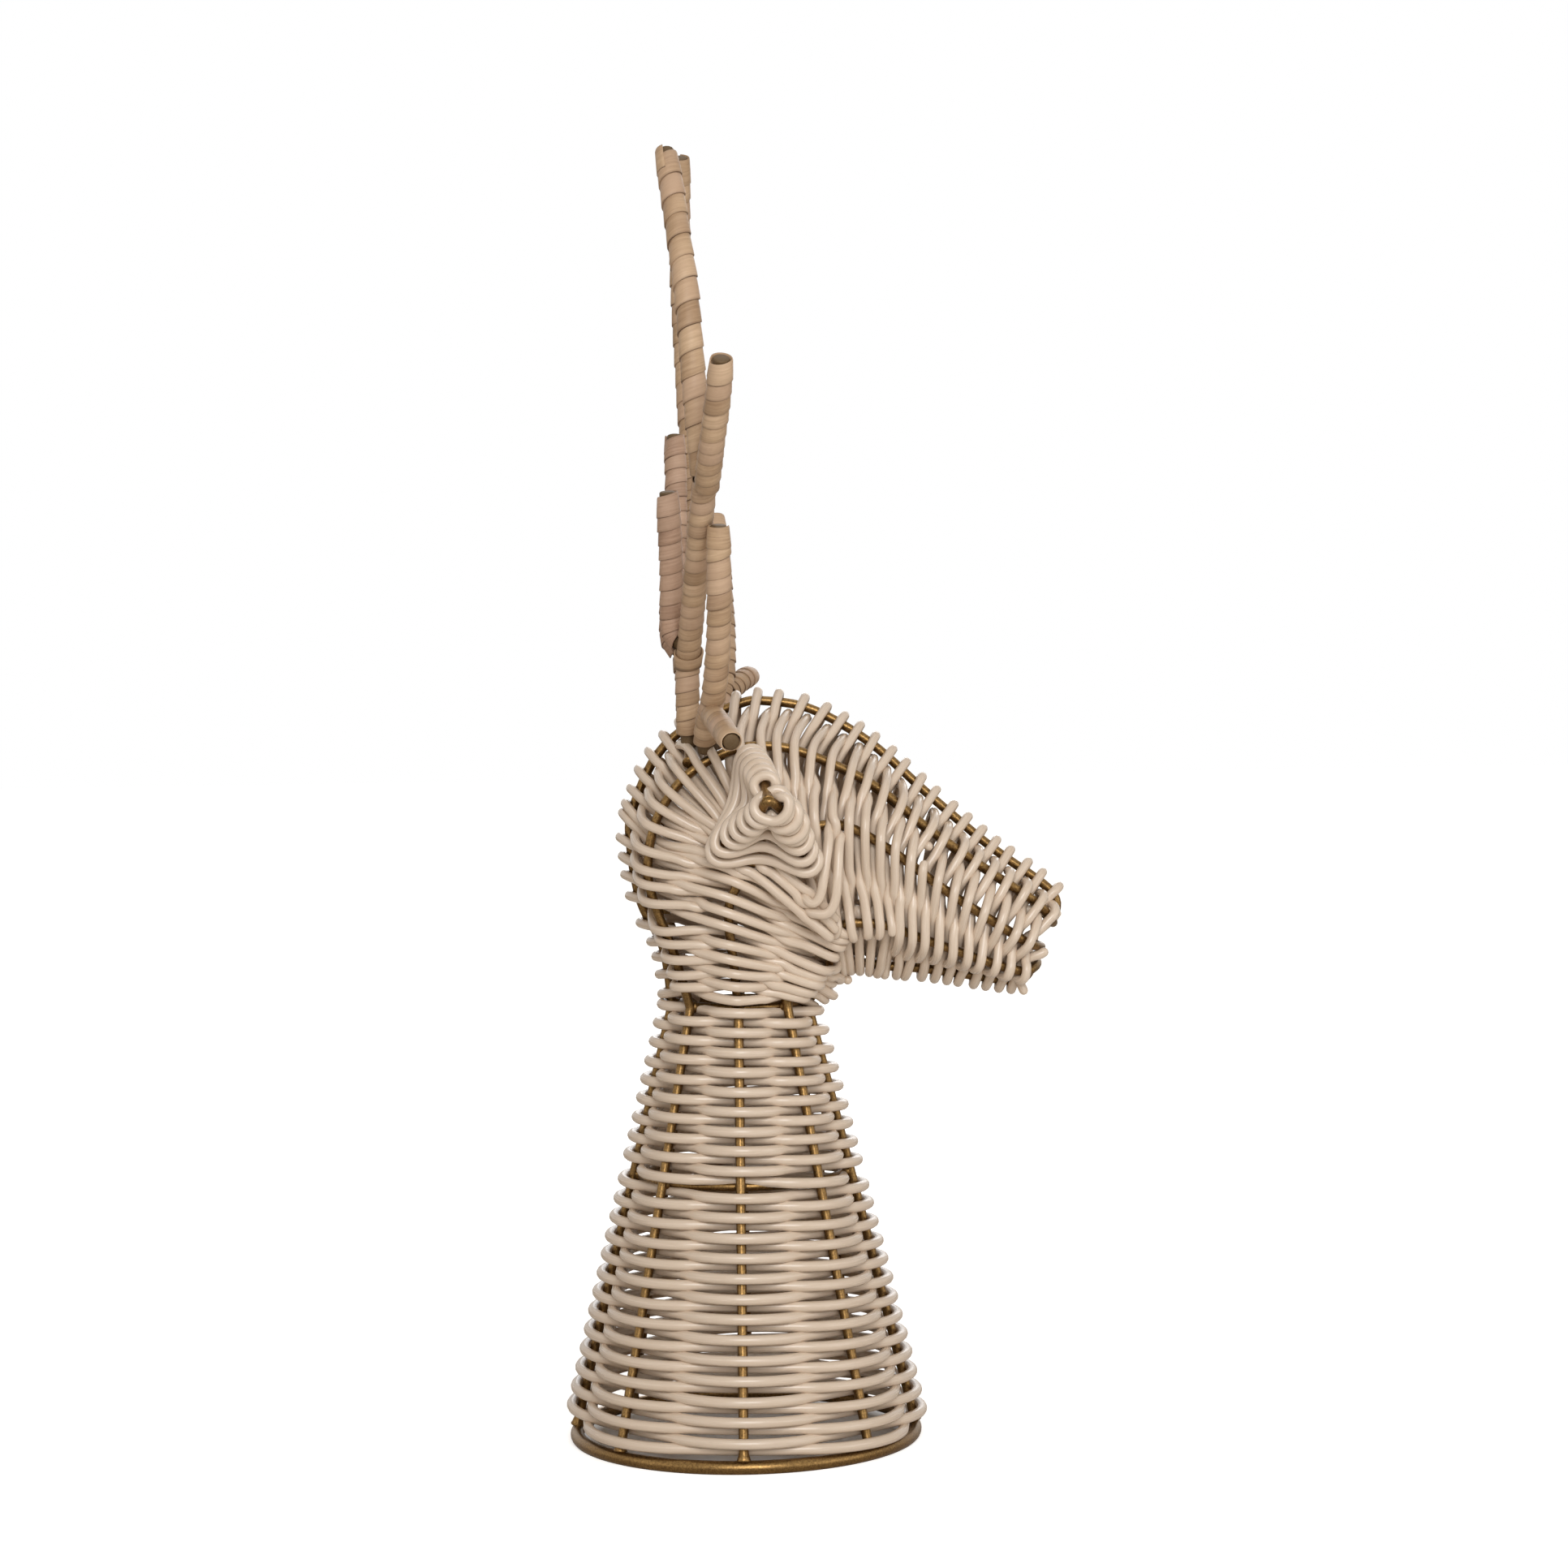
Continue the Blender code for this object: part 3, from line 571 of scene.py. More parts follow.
def cane_material():
    """Bleached round cane: cream, dry satin, with faint lengthwise streaks and darker patches."""
    look = Look(bpy.data.materials.new("bleached_cane"))
    streaks = look.noise(look.stretched(*CANE_STREAKS), 1.0, 4.0, 0.6)
    patches = look.noise(look.place(), CANE_PATCHES, 2.0)
    tint = look.node("Attribute", "Fac", attribute_name="tint")
    base = look.ramp(streaks, CANE_RAMP)
    warmer = look.mix(look.span(patches, 0.0, CANE_WARMER), base, CANE_WARM)
    strand = look.mix(look.span(tint, 0.0, CANE_DARKER), warmer, CANE_DARK)
    look.surface("Base Color", strand)
    look.surface("Roughness", look.span(streaks, *CANE_ROUGH))
    look.bump(streaks, *CANE_BUMP)
    return look.owner


def bronze_material():
    """Antique bronze paint on wire: brown gold, satin, with a fine fleck and darker patches."""
    look = Look(bpy.data.materials.new("antique_bronze"))
    flecks = look.noise(look.place(), BRONZE_FLECKS, 2.0, 0.7)
    patches = look.noise(look.place(), BRONZE_PATCHES, 3.0)
    base = look.ramp(flecks, BRONZE_RAMP)
    look.surface("Base Color", look.mix(look.span(patches, 0.0, BRONZE_WORN), base, BRONZE_DARK))
    look.surface("Metallic", BRONZE_METAL)
    look.surface("Roughness", look.span(patches, *BRONZE_ROUGH))
    look.bump(flecks, *BRONZE_BUMP)
    return look.owner


def rod_material():
    """The antler rods, of which only the dull ends show."""
    look = Look(bpy.data.materials.new("dull_bronze"))
    flecks = look.noise(look.place(), BRONZE_FLECKS, 2.0, 0.7)
    look.surface("Base Color", look.ramp(flecks, ROD_RAMP))
    look.surface("Metallic", ROD_METAL)
    look.surface("Roughness", ROD_ROUGH)
    return look.owner


def strip_material(name, colours, grain):
    """Flat strip peeled from cane: tan, with fine lengthwise fibres, rosy turns and painted shade along each
    turn's lower edge, stronger in some patches than in others.
    """
    look = Look(bpy.data.materials.new(name))
    fibres = look.noise(look.stretched(*STRIP_FIBRES), 1.0, 5.0, 0.7)
    turns = look.noise(look.stretched(*STRIP_TURNS))
    base = look.ramp(turns, list(zip(TURN_STOPS, colours)))
    lines = look.ramp(fibres, list(zip(FIBRE_STOPS, colours)))
    streaked = look.mix(FIBRE_SHARE, base, lines)
    hues = look.noise(look.stretched(*STRIP_HUES))
    rosy = look.mix(look.ramp(hues, ROSE_RAMP), streaked, STRIP_ROSE)
    # Painted shade on each turn's lower edge, where the turn laps over the one below, varied in patches
    shade_patches = look.noise(look.stretched(*EDGE_SHADE_PATCHES), 1.0, 2.0)
    across = look.node("SeparateXYZ", "Y", {"Vector": look.stretched(1.0, 1.0)})
    edge = look.ramp(across, EDGE_SHADE_RAMP)
    edge = look.mix(1.0, edge, look.ramp(shade_patches, EDGE_SHADE_PATCH_RAMP), "MULTIPLY")
    look.surface("Base Color", look.mix(edge, rosy, STRIP_EDGE_SHADE))
    look.surface("Roughness", STRIP_ROUGH)
    look.surface("Specular IOR Level", STRIP_SHINE)
    look.bump(fibres, grain, GRAIN_DEPTH)
    return look.owner


# Frame wires

def neck_radius(height):
    share = (height - BASE_RING_WIRE) / (NECK_HEIGHT - BASE_RING_WIRE)
    return BASE_RADIUS + (TOP_RADIUS - BASE_RADIUS) * share


def neck_spot(step, height, out=0.0):
    """A place on a rib. Steps run from the front, round the right side to the back."""
    turn = -2 * pi * step / RIBS
    return round_spot(neck_radius(height) + out, turn, height)


def rib_foot(step):
    return neck_spot(step, BASE_RING_WIRE - BASE_RING_FLAT)


def flared(path, at_start, at_end, radius):
    """Radii of a wire that swells into a weld bead at its ends."""
    lengths = walked(path)
    radii = []
    for length in lengths:
        start_swell = at_start * math.exp(-(length / BEAD_REACH) ** 2)
        end_swell = at_end * math.exp(-((lengths[-1] - length) / BEAD_REACH) ** 2)
        radii.append(radius + (start_swell + end_swell))
    return radii


def wire(name, path, start_bead=0.0, end_bead=0.0, thickness=WIRE, material=None):
    """A bronze wire in place of the plain one of the same name."""
    points = even(path, WIRE_SPACING)
    sheet = Sheet()
    sheet.tube(points, flared(points, start_bead, end_bead, thickness / 2), sides=WIRE_SIDES)
    keep(sheet.made(f"{name}_finish", material or BRONZE), name)


def ring_wire(name, height):
    """A hoop inside the ribs, with a weld bead at each."""
    radius = neck_radius(height) - WIRE + RING_SINK
    path = [round_spot(radius, 2 * pi * i / RING_STEPS, height) for i in range(RING_STEPS)]
    sheet = Sheet()
    sheet.tube(path, [WIRE / 2] * RING_STEPS, sides=WIRE_SIDES, closed=True)
    outs = [-WIRE + RING_SINK + RING_BEAD_STEP * i for i in range(len(RING_BEAD))]
    for step in range(RIBS):
        sheet.tube([neck_spot(step, height, out) for out in outs], RING_BEAD, ends=ROUND_END)
    keep(sheet.made(f"{name}_finish", BRONZE), name)


def base_ring():
    """The ring it stands on: a round section with a flat underside."""
    radius = BASE_RING_WIRE / 2
    flat = math.acos((radius - BASE_RING_FLAT) / radius)
    rings = []
    for i in range(BASE_RING_STEPS):
        turn = 2 * pi * i / BASE_RING_STEPS
        ring = []
        for c in range(BASE_RING_CORNERS):
            lean = -pi / 2 + flat + c * (2 * pi - 2 * flat) / (BASE_RING_CORNERS - 1)
            reach = BASE_RADIUS + radius * cos(lean)
            up = radius - BASE_RING_FLAT + radius * sin(lean)
            ring.append(round_spot(reach, turn, up))
        rings.append(ring)
    sheet = Sheet()
    spacing = 2 * pi * BASE_RADIUS / BASE_RING_STEPS
    sheet.loft(rings, [i * spacing for i in range(BASE_RING_STEPS)], closed=True)
    keep(sheet.made("base_ring_finish", BRONZE), "base_ring")


def up_from(step, points):
    """Points of a wire from a rib's top on."""
    return [neck_spot(step, NECK_HEIGHT)] + on_neck(points)


def bow_wire(name, foot, right, bow, bead):
    """A wire up the right side, round the nose and down the left side."""
    head = smooth(right + on_neck([bow]) + mirrored(right)[::-1])
    wire(name, foot + head + mirrored(foot), bead, bead)


def frame_wires():
    base_ring()
    ring_wire("neck_mid_ring", MID_RING_HEIGHT)
    ring_wire("neck_top_ring", NECK_HEIGHT)
    wire("spine_wire", [rib_foot(4)] + smooth(up_from(4, SPINE)), FOOT_BEAD)
    bow_wire("temple_wire", [rib_foot(3)], up_from(3, TEMPLE), TEMPLE_BOW, FOOT_BEAD)
    bow_wire("cheek_wire", [rib_foot(2)], up_from(2, CHEEK), CHEEK_BOW, FOOT_BEAD)
    for step, side in ((1, "right"), (7, "left")):
        top = neck_spot(step, NECK_HEIGHT + RIB_PAST_RING)
        wire(f"front_rib_{side}", [rib_foot(step), top], FOOT_BEAD, RIB_TOP_BEAD)
    wire("throat_wire", [rib_foot(0)] + smooth(up_from(0, THROAT)), FOOT_BEAD)
    bow_wire("jaw_wire", [], on_neck(JAW), JAW_BOW, JAW_BEAD)
    half = on_neck(ANTLER_BAR)
    wire("antler_bar", smooth(half + mirrored(half[:-1])[::-1]), BAR_BEAD, BAR_BEAD)


# Neck weave

def neck_strand(name, lag, over, last_step, node):
    """One strand: outside every second rib and inside the others."""
    lean = math.atan((BASE_RADIUS - TOP_RADIUS) / NECK_HEIGHT)
    reach = (WIRE / 2 + NECK_CANE / 2) / cos(lean)
    first = math.floor(NECK_START)
    wobble = [DICE.uniform(-NECK_WOBBLE, NECK_WOBBLE) for _ in range(int(last_step) - first + 3)]
    change, pace = NECK_WAVER
    path = []
    radii = []
    for i in range(int((last_step - NECK_START) * NECK_STEPS)):
        step = NECK_START + i / NECK_STEPS
        row = NECK_FIRST_ROW + lag + NECK_PITCH * (step - 2) / RIBS
        room = min(1, max(0, (row - RING_ROOM_FROM) / RING_ROOM_OVER))
        whole = math.floor(step)
        part = step - whole
        ease = part * part * (3 - 2 * part)
        shift = blend(wobble, whole - first, ease)
        swing = cos(pi * (step - over))
        side = 1 if swing > 0 else -NECK_INNER
        out = reach * (side * abs(swing) ** NECK_BOW)
        path.append(neck_spot(step, max(row + RING_ROOM * room + shift, NECK_LOWEST), out))
        radii.append(NECK_CANE / 2 + change * sin(i * pace + lag))
    sheet = Sheet()
    sheet.tube(path, radii, tint=DICE.random())
    keep(sheet.made(name, CANE_LOOK), node)


# Head weave

def rail_paths(jaw):
    """The eight lines that the head weave crosses: spine, right side, throat and left side."""
    lines = [up_from(4, SPINE), up_from(3, TEMPLE), up_from(2, CHEEK), on_neck(jaw), up_from(0, THROAT)]
    right = [smooth(points, RAIL_STEPS) for points in lines]
    return right + [mirrored(path) for path in right[3:0:-1]]


class Weave:
    """Rows over eight rails. Row numbers may be fractions: a strand climbs as it goes round."""

    def __init__(self, rails, marks, passing):
        self.rails = rails
        self.passing = passing
        self.marks = marks + marks[3:0:-1]
        self.noise = {}

    def length(self, rail, row):
        marks = self.marks[rail]
        for (low, start), (high, end) in zip(marks, marks[1:]):
            if row <= high:
                break
        return start + (end - start) * (row - low) / (high - low)

    def middle(self, row):
        places = [at_length(self.rails[k], self.length(k, row))[0] for k in range(RIBS)]
        return sum(places, Vector()) / RIBS

    def spot(self, rail, row, out, past=0.0):
        """A place beside a rail: out from the head's middle, and past the rail along the row."""
        key = (rail, round(row / HALF_ROW))
        if key not in self.noise:
            slip = DICE.uniform(-CROSSING_SLIP, CROSSING_SLIP)
            self.noise[key] = (slip, DICE.uniform(0.0, CROSSING_LIFT))
        slip, lift = self.noise[key]
        place, way = at_length(self.rails[rail], max(0.0, self.length(rail, row) + slip))
        side = square_to(way, place - self.middle(row))
        across = way.cross(side)
        return place + side * (out + (lift if out > 0 else -lift)) + across * past


def passing(weave, here, there, outside):
    """A place between two rails, as (rail, row): a strand that lay outside stays out for longer."""
    if {here[0], there[0]} not in weave.passing:
        return []
    start = weave.spot(*here, 0.0)
    end = weave.spot(*there, 0.0)
    place = start.lerp(end, DICE.uniform(*(PASSING_LATE if outside else PASSING_EARLY)))
    way = (end - start).normalized()
    side = square_to(way, place - weave.middle((here[1] + there[1]) / 2))
    return [place + side * DICE.uniform(*PASSING_OUT)]


def round_strand(weave, from_row, to_row, outside_even, layers=(0,) * RIBS):
    """Points of a strand that spirals right round the head. Steps run from the throat to the right."""
    points = []
    for step in range(round((to_row - from_row) * RIBS) + 1):
        rail = (THROAT_RAIL - step) % RIBS
        row = from_row + step / RIBS
        outside = (rail % 2 == 0) == outside_even
        pile = layers[rail] * (int(row) % PILE_ROWS) if outside else 0
        if step:
            points += passing(weave, last, (rail, row), not outside)
        last = (rail, row)
        points.append(weave.spot(rail, row, HEAD_REACH + pile if outside else -HEAD_REACH))
    return points


def short_strand(weave, from_row, to_row, rails, outside_even, tucked=False):
    """Points of a strand to and fro over some rails. It turns back round the end ones or, tucked, inside."""
    ends = (rails[0], rails[-1]) if tucked else ()
    rails = list(rails)
    points = []
    row = from_row
    while row <= to_row + ROW_SLACK:
        for i, rail in enumerate(rails):
            outside = (rail % 2 == 0) == outside_even and rail not in ends
            here = (rail, row + HALF_ROW * i / len(rails))
            if i:
                points += passing(weave, last, here, not outside)
            last = here
            points.append(weave.spot(*here, HEAD_REACH if outside else -HEAD_REACH))
        row += HALF_ROW
        outside_even = not outside_even
        turn = rails[-1]
        out = -2 * HEAD_REACH if tucked else 0.0
        past = 0.0 if tucked else math.copysign(HEAD_REACH, THROAT_RAIL - turn)
        points.append(weave.spot(turn, row - ROW_TURN, out, past))
        rails.reverse()
    return points[:-1]


def settled(strands, obstacles):
    """Strands moved apart where they crowd, and off the wires, each kept smooth and near its home."""
    homes = strands
    for _ in range(SETTLE_ROUNDS):
        owners = [(s, i) for s, path in enumerate(strands) for i in range(len(path))]
        places = [place for path in strands for place in path] + obstacles
        tree = KDTree(len(places))
        for index, place in enumerate(places):
            tree.insert(place, index)
        tree.balance()
        strands = [[eased(strands[s], homes[s], i, push(tree, owners, place, s, i))
                    for i, place in enumerate(strands[s])] for s in range(len(strands))]
    return strands


def push(tree, owners, place, strand, step):
    """The mean move that takes a point clear of other strands and of wires."""
    move = Vector()
    count = 0
    for other, index, gap in tree.find_range(place, CANE):
        is_wire = index >= len(owners)
        clear = CANE if is_wire else CANE * SETTLE_CLEAR
        if not is_wire and owners[index][0] == strand and abs(owners[index][1] - step) < SETTLE_NEAR:
            continue
        if 0 < gap < clear:
            move += (place - other) * (clear / gap - 1) * (1.0 if is_wire else SETTLE_SHARE)
            count += 1
    return move / count * SETTLE_PUSH if count else move


def eased(path, home, i, move):
    """A point after its push, drawn a little to the middle of its neighbours and to its home."""
    middle = (path[max(i - 1, 0)] + path[min(i + 1, len(path) - 1)]) / 2
    return path[i] + move + (middle - path[i]) * SETTLE_SMOOTH + (home[i] - path[i]) * SETTLE_HOME


def strand_path(points):
    return even(smooth(points, RAIL_STEPS), STRAND_SPACING)


def cane(name, paths, node, thickness=CANE):
    """Cane along each path, with a faint change of thickness."""
    sheet = Sheet()
    change, pace = HEAD_WAVER
    for path in paths:
        path = even(smooth(path, CANE_STEPS), CANE_SPACING)
        waver = DICE.uniform(0, WAVER_STARTS)
        radii = [thickness / 2 + change * sin(i * pace + waver) for i in range(len(path))]
        sheet.tube(path, radii, tint=DICE.random(), ends=ROUND_END)
    keep(sheet.made(name, CANE_LOOK), node)


def nape_strands():
    weave = Weave(rail_paths(NAPE_JAW), NAPE_MARKS, NAPE_PASSING)
    routes = [round_strand(weave, 0, NAPE_ROUND, True, NAPE_LAYERS),
              round_strand(weave, HALF_ROW, NAPE_ROUND + HALF_ROW, False, NAPE_LAYERS),
              short_strand(weave, NAPE_SHORT_FROM, NAPE_SHORT, JAW_TO_JAW, True),
              short_strand(weave, NAPE_SHORT + HALF_ROW, NAPE_ROWS, CHEEK_TO_CHEEK, True)]
    return [strand_path(route) for route in routes]


def face_strands():
    weave = Weave(rail_paths(FACE_JAW), FACE_MARKS, FACE_PASSING)
    upper = round_strand(weave, FACE_SHORT + HALF_ROW, FACE_ENDS[0], True)
    cut_end = upper[FACE_CUT].lerp(upper[FACE_CUT + 1], FACE_CUT_SHARE)
    routes = [short_strand(weave, 0, FACE_TOP, CHEEK_TO_CHEEK, True),
              short_strand(weave, FACE_TOP + HALF_ROW, FACE_SHORT, JAW_TO_JAW, True),
              short_strand(weave, UNDER_FROM, FACE_SHORT, UNDER_JAW, True, tucked=True),
              upper[:FACE_CUT + 1] + [cut_end],
              upper[FACE_CUT + 1:],
              round_strand(weave, FACE_SHORT + 2 * HALF_ROW, FACE_ENDS[1], False)]
    for points in UNDER_EAR:
        routes += [on_neck(points), on_neck(mirrored(points))]
    return [strand_path(route) for route in routes]


def head_obstacles():
    """Points along every wire that the cane lies against."""
    paths = rail_paths(NAPE_JAW)
    jaw = smooth(on_neck(JAW), RAIL_STEPS)
    bar = smooth(on_neck(ANTLER_BAR), RAIL_STEPS)
    paths += [jaw, mirrored(jaw), bar, mirrored(bar)]
    for side in SIDES:
        paths += ear_paths(side)
    return [place for path in paths for place in even(path, CANE_SPACING)]


def head_weave():
    nape = nape_strands()
    face = face_strands()
    ears = [strand_path(ear_points(side)) for side in SIDES]
    strands = settled(nape + face + ears, head_obstacles())
    cane("nape_cane", strands[:len(nape)], "nape_weave")
    stubs = [strand_path(on_neck(points)) for points in STUBS]
    cane("face_cane", strands[len(nape):-2] + stubs, "face_weave")
    for side, strand in zip(SIDES, strands[-2:]):
        cane(f"ear_cane_{side}", [strand], f"ear_weave_{side}", EAR_CANE)


# Ears

def ear_wires(side):
    """The ear's ridge, its bow's back and front, and the tip where they meet."""
    lists = (EAR_RIDGE, EAR_BOW_BACK, EAR_BOW_FRONT, [EAR_TIP])
    return [on_neck(points if side == "right" else mirrored(points)) for points in lists]


def ear_paths(side):
    ridge, back, front, tip = ear_wires(side)
    return [smooth(points + tip) for points in (ridge, back, front)]


def ear_frame(side):
    ridge, back, front, tip = ear_wires(side)
    wire(f"ear_ridge_wire_{side}", smooth(ridge + tip), *EAR_BEADS)
    wire(f"ear_bow_wire_{side}", smooth(back + tip + front[::-1]))


def ear_points(side):
    """A strand wound round the three ear wires, from the head to the tip."""
    paths = ear_paths(side)
    points = []
    count = EAR_WIRES * EAR_ROWS
    for i in range(count):
        which = i % EAR_WIRES
        grown = i / (count - 1)
        shares = [start + (end - start) * grown for start, end in zip(EAR_FROM, EAR_TO)]
        here = [at_length(path, share * length_of(path))[0] for path, share in zip(paths, shares)]
        bulge = EAR_BULGE_BASE[which] * (1 - grown) + EAR_BULGE_TIP * grown
        wrap = which == 2 and i >= count - EAR_WIRES * EAR_WRAPS
        points += ear_corner(here, which, bulge, wrap)
    return points


def ear_corner(corners, which, bulge, wrap):
    """Round the outside of one ear wire, or once more round it, then to the side before the next."""
    middle = sum(corners, Vector()) / EAR_WIRES
    here = corners[which]
    after = corners[(which + 1) % EAR_WIRES]
    before = corners[which - 1]
    across = (here - middle).normalized()
    side = square_to(across, after - before)
    way = across.cross(side)
    turns = EAR_TURNS + (EAR_WRAP_TURNS if wrap else [])
    points = []
    for i, turn in enumerate(turns):
        lean = math.radians(turn)
        climb = (i / (len(turns) - 1) - 0.5) * EAR_WRAP_CLIMB if wrap else 0
        loose = 1 + EAR_LOOSE * (1 - cos(lean)) / 2 if wrap else 1
        out = across * cos(lean) + side * sin(lean)
        points.append(here + out * EAR_LOOP * loose + way * climb)
    dip = (here + after) / 2
    return points + [dip + (dip - middle) * bulge]


# Antlers

def fork(path, height, toward):
    """Where a branch leaves a rod at this height: its foot, and the length along the rod."""
    length = 0
    for a, b in zip(path, path[1:]):
        if b.z >= height:
            share = (height - a.z) / (b.z - a.z)
            break
        length += (b - a).length
    spot = a.lerp(b, share)
    along = (b - a).normalized()
    side = square_to(along, (toward - spot).normalized())
    return spot + side * (ROD / 2), length + (b - a).length * share


def strip_section(width):
    """The strip's cross section, as lengths along the rod and heights above it: lower edge first."""
    thick = STRIP_THICK
    lift = STRIP_LIFT
    return [(0.0, lift), (0.0, lift + thick * 0.75), (STRIP_SHOULDER, lift + thick),
            (width * 0.45, lift * 0.6 + thick), (width * 0.93, thick), (width, thick * 0.6),
            (width, STRIP_TOE), (width * 0.45, lift * 0.6)]


class Rod:
    """A path on which strip is wound."""

    def __init__(self, path):
        self.path = even(path, STRIP_SPACING)
        self.total = length_of(self.path)
        self.frames = side_vectors(self.path)

    def beside(self, length, turn, radius):
        """A place at this length along the rod, this far from its middle."""
        spot = length / self.total * (len(self.path) - 1)
        i = min(int(spot), len(self.path) - 2)
        share = spot - i
        place = self.path[i].lerp(self.path[i + 1], share)
        first, second = (self.frames[i][k].lerp(self.frames[i + 1][k], share) for k in (0, 1))
        return place + (first * cos(turn) + second * sin(turn)) * radius


def strip_wrap(name, path, start, end, material, rise=STRIP_PITCH):
    """Flat strip wound up a rod, each turn lapping over the one below. The end turns lie level."""
    run_out = (path[-1] - path[-2]).normalized() * STRIP_RUN_OUT
    rod = Rod(path + [path[-1] + run_out])
    width = rise + STRIP_LAP
    span = end - start - width
    turns = max(1, round(span / rise))
    section = strip_section(width)
    rings = []
    lengths = []
    slack = [DICE.uniform(*STRIP_SLACK) for _ in range(turns)] + [0.0] * 3
    skew = [DICE.uniform(-STRIP_SKEW, STRIP_SKEW) for _ in range(turns + 3)]
    spin = DICE.uniform(0, STRIP_SPIN)
    for i in range((turns + 1) * STRIP_STEPS + 1):
        turn = 2 * pi * i / STRIP_STEPS + spin
        whole = i // STRIP_STEPS
        part = i / STRIP_STEPS - whole
        loose = max(0, blend(slack, whole, part))
        shift = blend(skew, whole, part)
        climb = min(max(span / turns * (i / STRIP_STEPS - 0.5) + shift, 0.0), span)
        rings.append([rod.beside(start + climb + along, turn, ROD / 2 + STRIP_ROOM + height + loose)
                      for along, height in section])
        lengths.append(i / STRIP_STEPS * pi * STRIP_ACROSS)
    sheet = Sheet()
    sheet.loft(rings, lengths, DICE.random())
    keep(sheet.made(f"{name}_finish", material), name)


def antler_rod(name, path):
    wire(name, path, thickness=ROD, material=ROD_LOOK)


def branch(name, parent, height, points, strip, bare):
    points = on_neck(points)
    foot, length = fork(parent, NECK_HEIGHT + height, points[0])
    path = smooth([foot] + points)
    antler_rod(name, path)
    strip_wrap(f"{name}_strip", path, bare, length_of(path) + RIM, strip)
    return length


def antler(side, beam, rear, outer, front, brow):
    name = f"antler_{side}"
    beam_path = smooth(on_neck(beam))
    beam_end = length_of(beam_path) + RIM
    antler_rod(f"{name}_beam", beam_path)
    rear_at = branch(f"{name}_rear_tine", beam_path, REAR_FORK, rear, STRIP_REAR, REAR_BARE)
    outer_at = branch(f"{name}_outer_tine", beam_path, OUTER_FORK[side], outer, STRIP_LOOK, OUTER_BARE)
    strip_wrap(f"{name}_stem_strip", beam_path, STEM_BARE, rear_at - STEM_STOP, STRIP_LOOK)
    strip_wrap(f"{name}_beam_strip", beam_path, rear_at - BEAM_BELOW, outer_at + BEAM_ABOVE, STRIP_LOOK)
    strip_wrap(f"{name}_top_strip", beam_path, outer_at + TOP_ABOVE, beam_end, STRIP_LOOK, TOP_PITCH)
    binding(f"{name}_fork_binding", beam_path, rear_at - BINDING_BELOW)
    front_path = smooth(on_neck(front))
    antler_rod(f"{name}_front_tine", front_path)
    branch(f"{name}_brow_tine", front_path, BROW_FORK[side], brow, STRIP_LOOK, BROW_BARE)
    strip_wrap(f"{name}_front_tine_strip", front_path, FRONT_BARE, length_of(front_path) + RIM, STRIP_LOOK)


def binding(name, path, length):
    """A loose collar of strip under the fork."""
    rod = Rod(path)
    rings = []
    for i in range(BINDING_STEPS):
        turn = 2 * pi * i / BINDING_STEPS
        tilt = BINDING_TILT * cos(turn)
        rings.append([rod.beside(length + along + tilt, turn, ROD / 2 + height)
                      for along, height in BINDING_SECTION])
    sheet = Sheet()
    lengths = [i * BINDING_SPACING for i in range(BINDING_STEPS)]
    sheet.loft(rings, lengths, closed=True)
    keep(sheet.made(f"{name}_finish", STRIP_LOOK), name)


# Stage

def seen_white(look):
    """1 for what the camera, a reflection or glass sees, so that these see plain white."""
    total = 0.0
    for ray in ("Is Camera Ray", "Is Glossy Ray", "Is Transmission Ray"):
        inputs = {0: total, 1: look.node("LightPath", ray)}
        total = look.node("Math", "Value", inputs, operation="MAXIMUM")
    return total


def studio():
    """A warm fill that the camera sees as white, and soft lamps."""
    world = bpy.data.worlds.new("studio")
    bpy.context.scene.world = world
    look = Look(world, "Background")
    look.surface("Color", FILL_COLOUR)
    look.surface("Strength", FILL_STRENGTH)
    white = look.node("Background", "Background", {"Color": WHITE, "Strength": 1.0})
    fill = look.shader.outputs["Background"]
    either = look.node("MixShader", "Shader", {"Fac": seen_white(look), 1: fill, 2: white})
    look.put(look.nodes["World Output"].inputs["Surface"], either)
    for lamp in LAMPS:
        soft_box(*lamp)


def soft_box(name, place, size, power):
    light = bpy.data.lights.new(name, "AREA")
    light.size = size
    light.energy = power
    light.color = LAMP_COLOUR
    lamp = added(name, light)
    lamp.location = place
    aim = Vector(LAMP_AIM) - Vector(place)
    lamp.rotation_euler = aim.to_track_quat("-Z", "Y").to_euler()


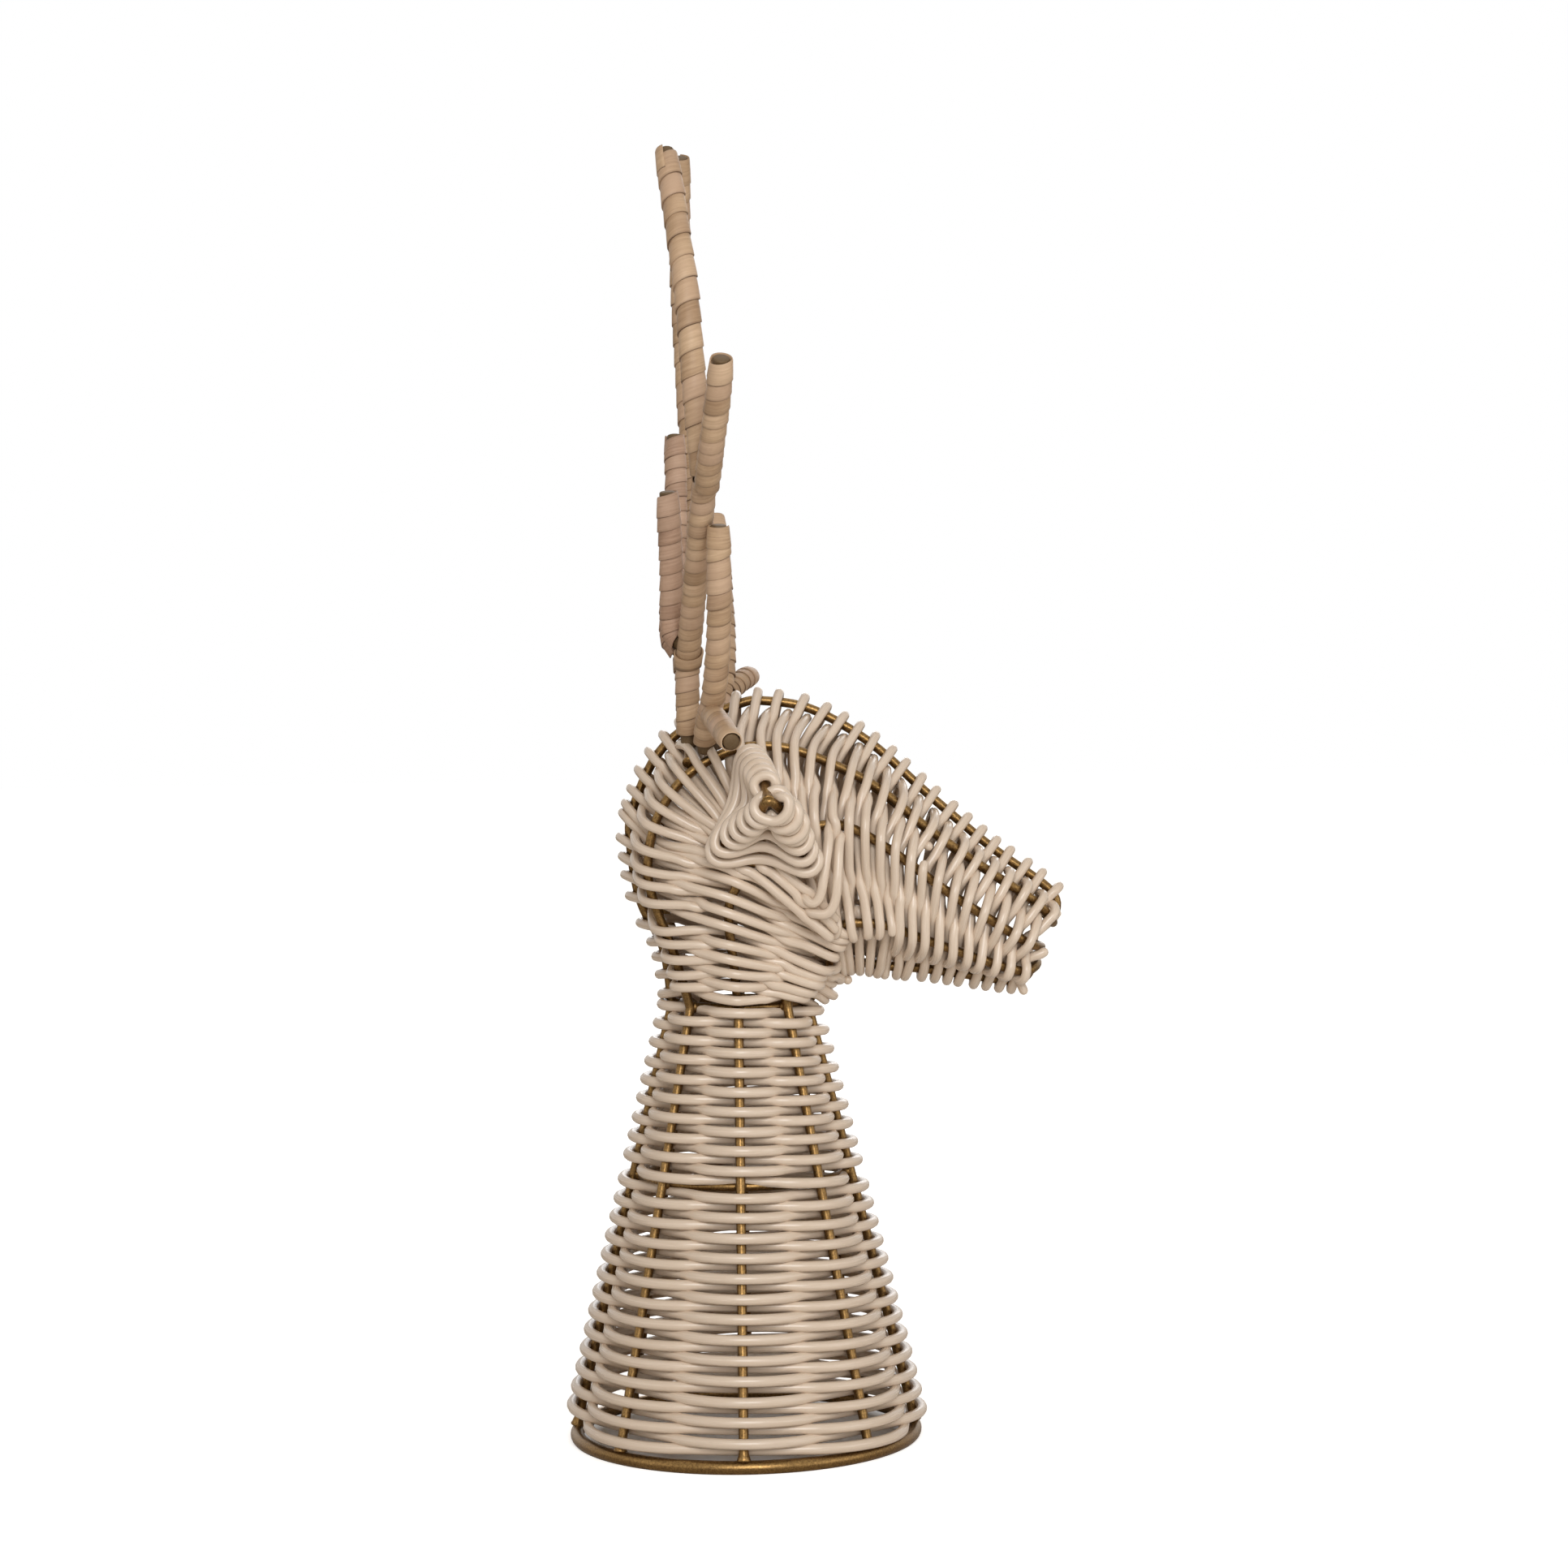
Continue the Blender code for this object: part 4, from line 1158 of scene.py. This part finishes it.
def floor():
    """A white floor: it takes the shadow near and inside the ring, and is plain white farther out."""
    look = Look(bpy.data.materials.new("white_floor"))
    look.surface("Base Color", FLOOR_COLOUR)
    look.surface("Roughness", FLOOR_ROUGH)
    look.surface("Specular IOR Level", 0.0)
    look.surface("Emission Color", WHITE)
    middle = tuple(MIDDLE * MM)
    length = look.node("VectorMath", "Value", {0: look.place(), 1: middle}, operation="DISTANCE")
    seen = look.node("LightPath", "Is Camera Ray")
    glow = look.node("Math", "Value", {0: seen, 1: look.ramp(length, FLOOR_RAMP)}, operation="MULTIPLY")
    look.surface("Emission Strength", glow)
    mesh = bpy.data.meshes.new("floor")
    reach = FLOOR_REACH
    corners = [(-reach, -reach, 0), (reach, -reach, 0), (reach, reach, 0), (-reach, reach, 0)]
    mesh.from_pydata(corners, [], [(0, 1, 2, 3)])
    mesh.materials.append(look.owner)
    plane = added("floor", mesh)


def camera():
    lens = bpy.data.cameras.new("camera")
    lens.sensor_width = SENSOR
    lens.lens = FOCAL_PIXELS / PHOTO_PIXELS * SENSOR
    lens.shift_y = (HORIZON_PIXEL - PHOTO_PIXELS / 2) / PHOTO_PIXELS
    lens.clip_start = CLIP_START
    eye = added("camera", lens)
    level = Matrix.Rotation(math.radians(90), 4, "X")
    roll = Matrix.Rotation(math.radians(CAMERA_ROLL), 4, "Z")
    eye.matrix_world = Matrix.Translation(CAMERA_PLACE) @ level @ roll
    bpy.context.scene.camera = eye


DICE = random.Random(SEED)
CANE_LOOK = cane_material()
BRONZE = bronze_material()
ROD_LOOK = rod_material()
STRIP_LOOK = strip_material("tan_strip", STRIP_COLOURS, STRIP_GRAIN)
STRIP_REAR = strip_material("bark_strip", REAR_COLOURS, REAR_GRAIN)

camera()
studio()
floor()
frame_wires()
neck_strand("neck_cane_a", 0, 0, NECK_ENDS[0], "neck_cane_upper")
neck_strand("neck_cane_b", -NECK_PITCH / 2, 1, NECK_ENDS[1], "neck_cane_lower")
head_weave()
for side in SIDES:
    ear_frame(side)
antler("right", BEAM_RIGHT, REAR_RIGHT, OUTER_RIGHT, FRONT_RIGHT, BROW_RIGHT)
antler("left", BEAM_LEFT, REAR_LEFT, OUTER_LEFT, FRONT_LEFT, BROW_LEFT)

bpy.context.scene.view_settings.view_transform = "Standard"
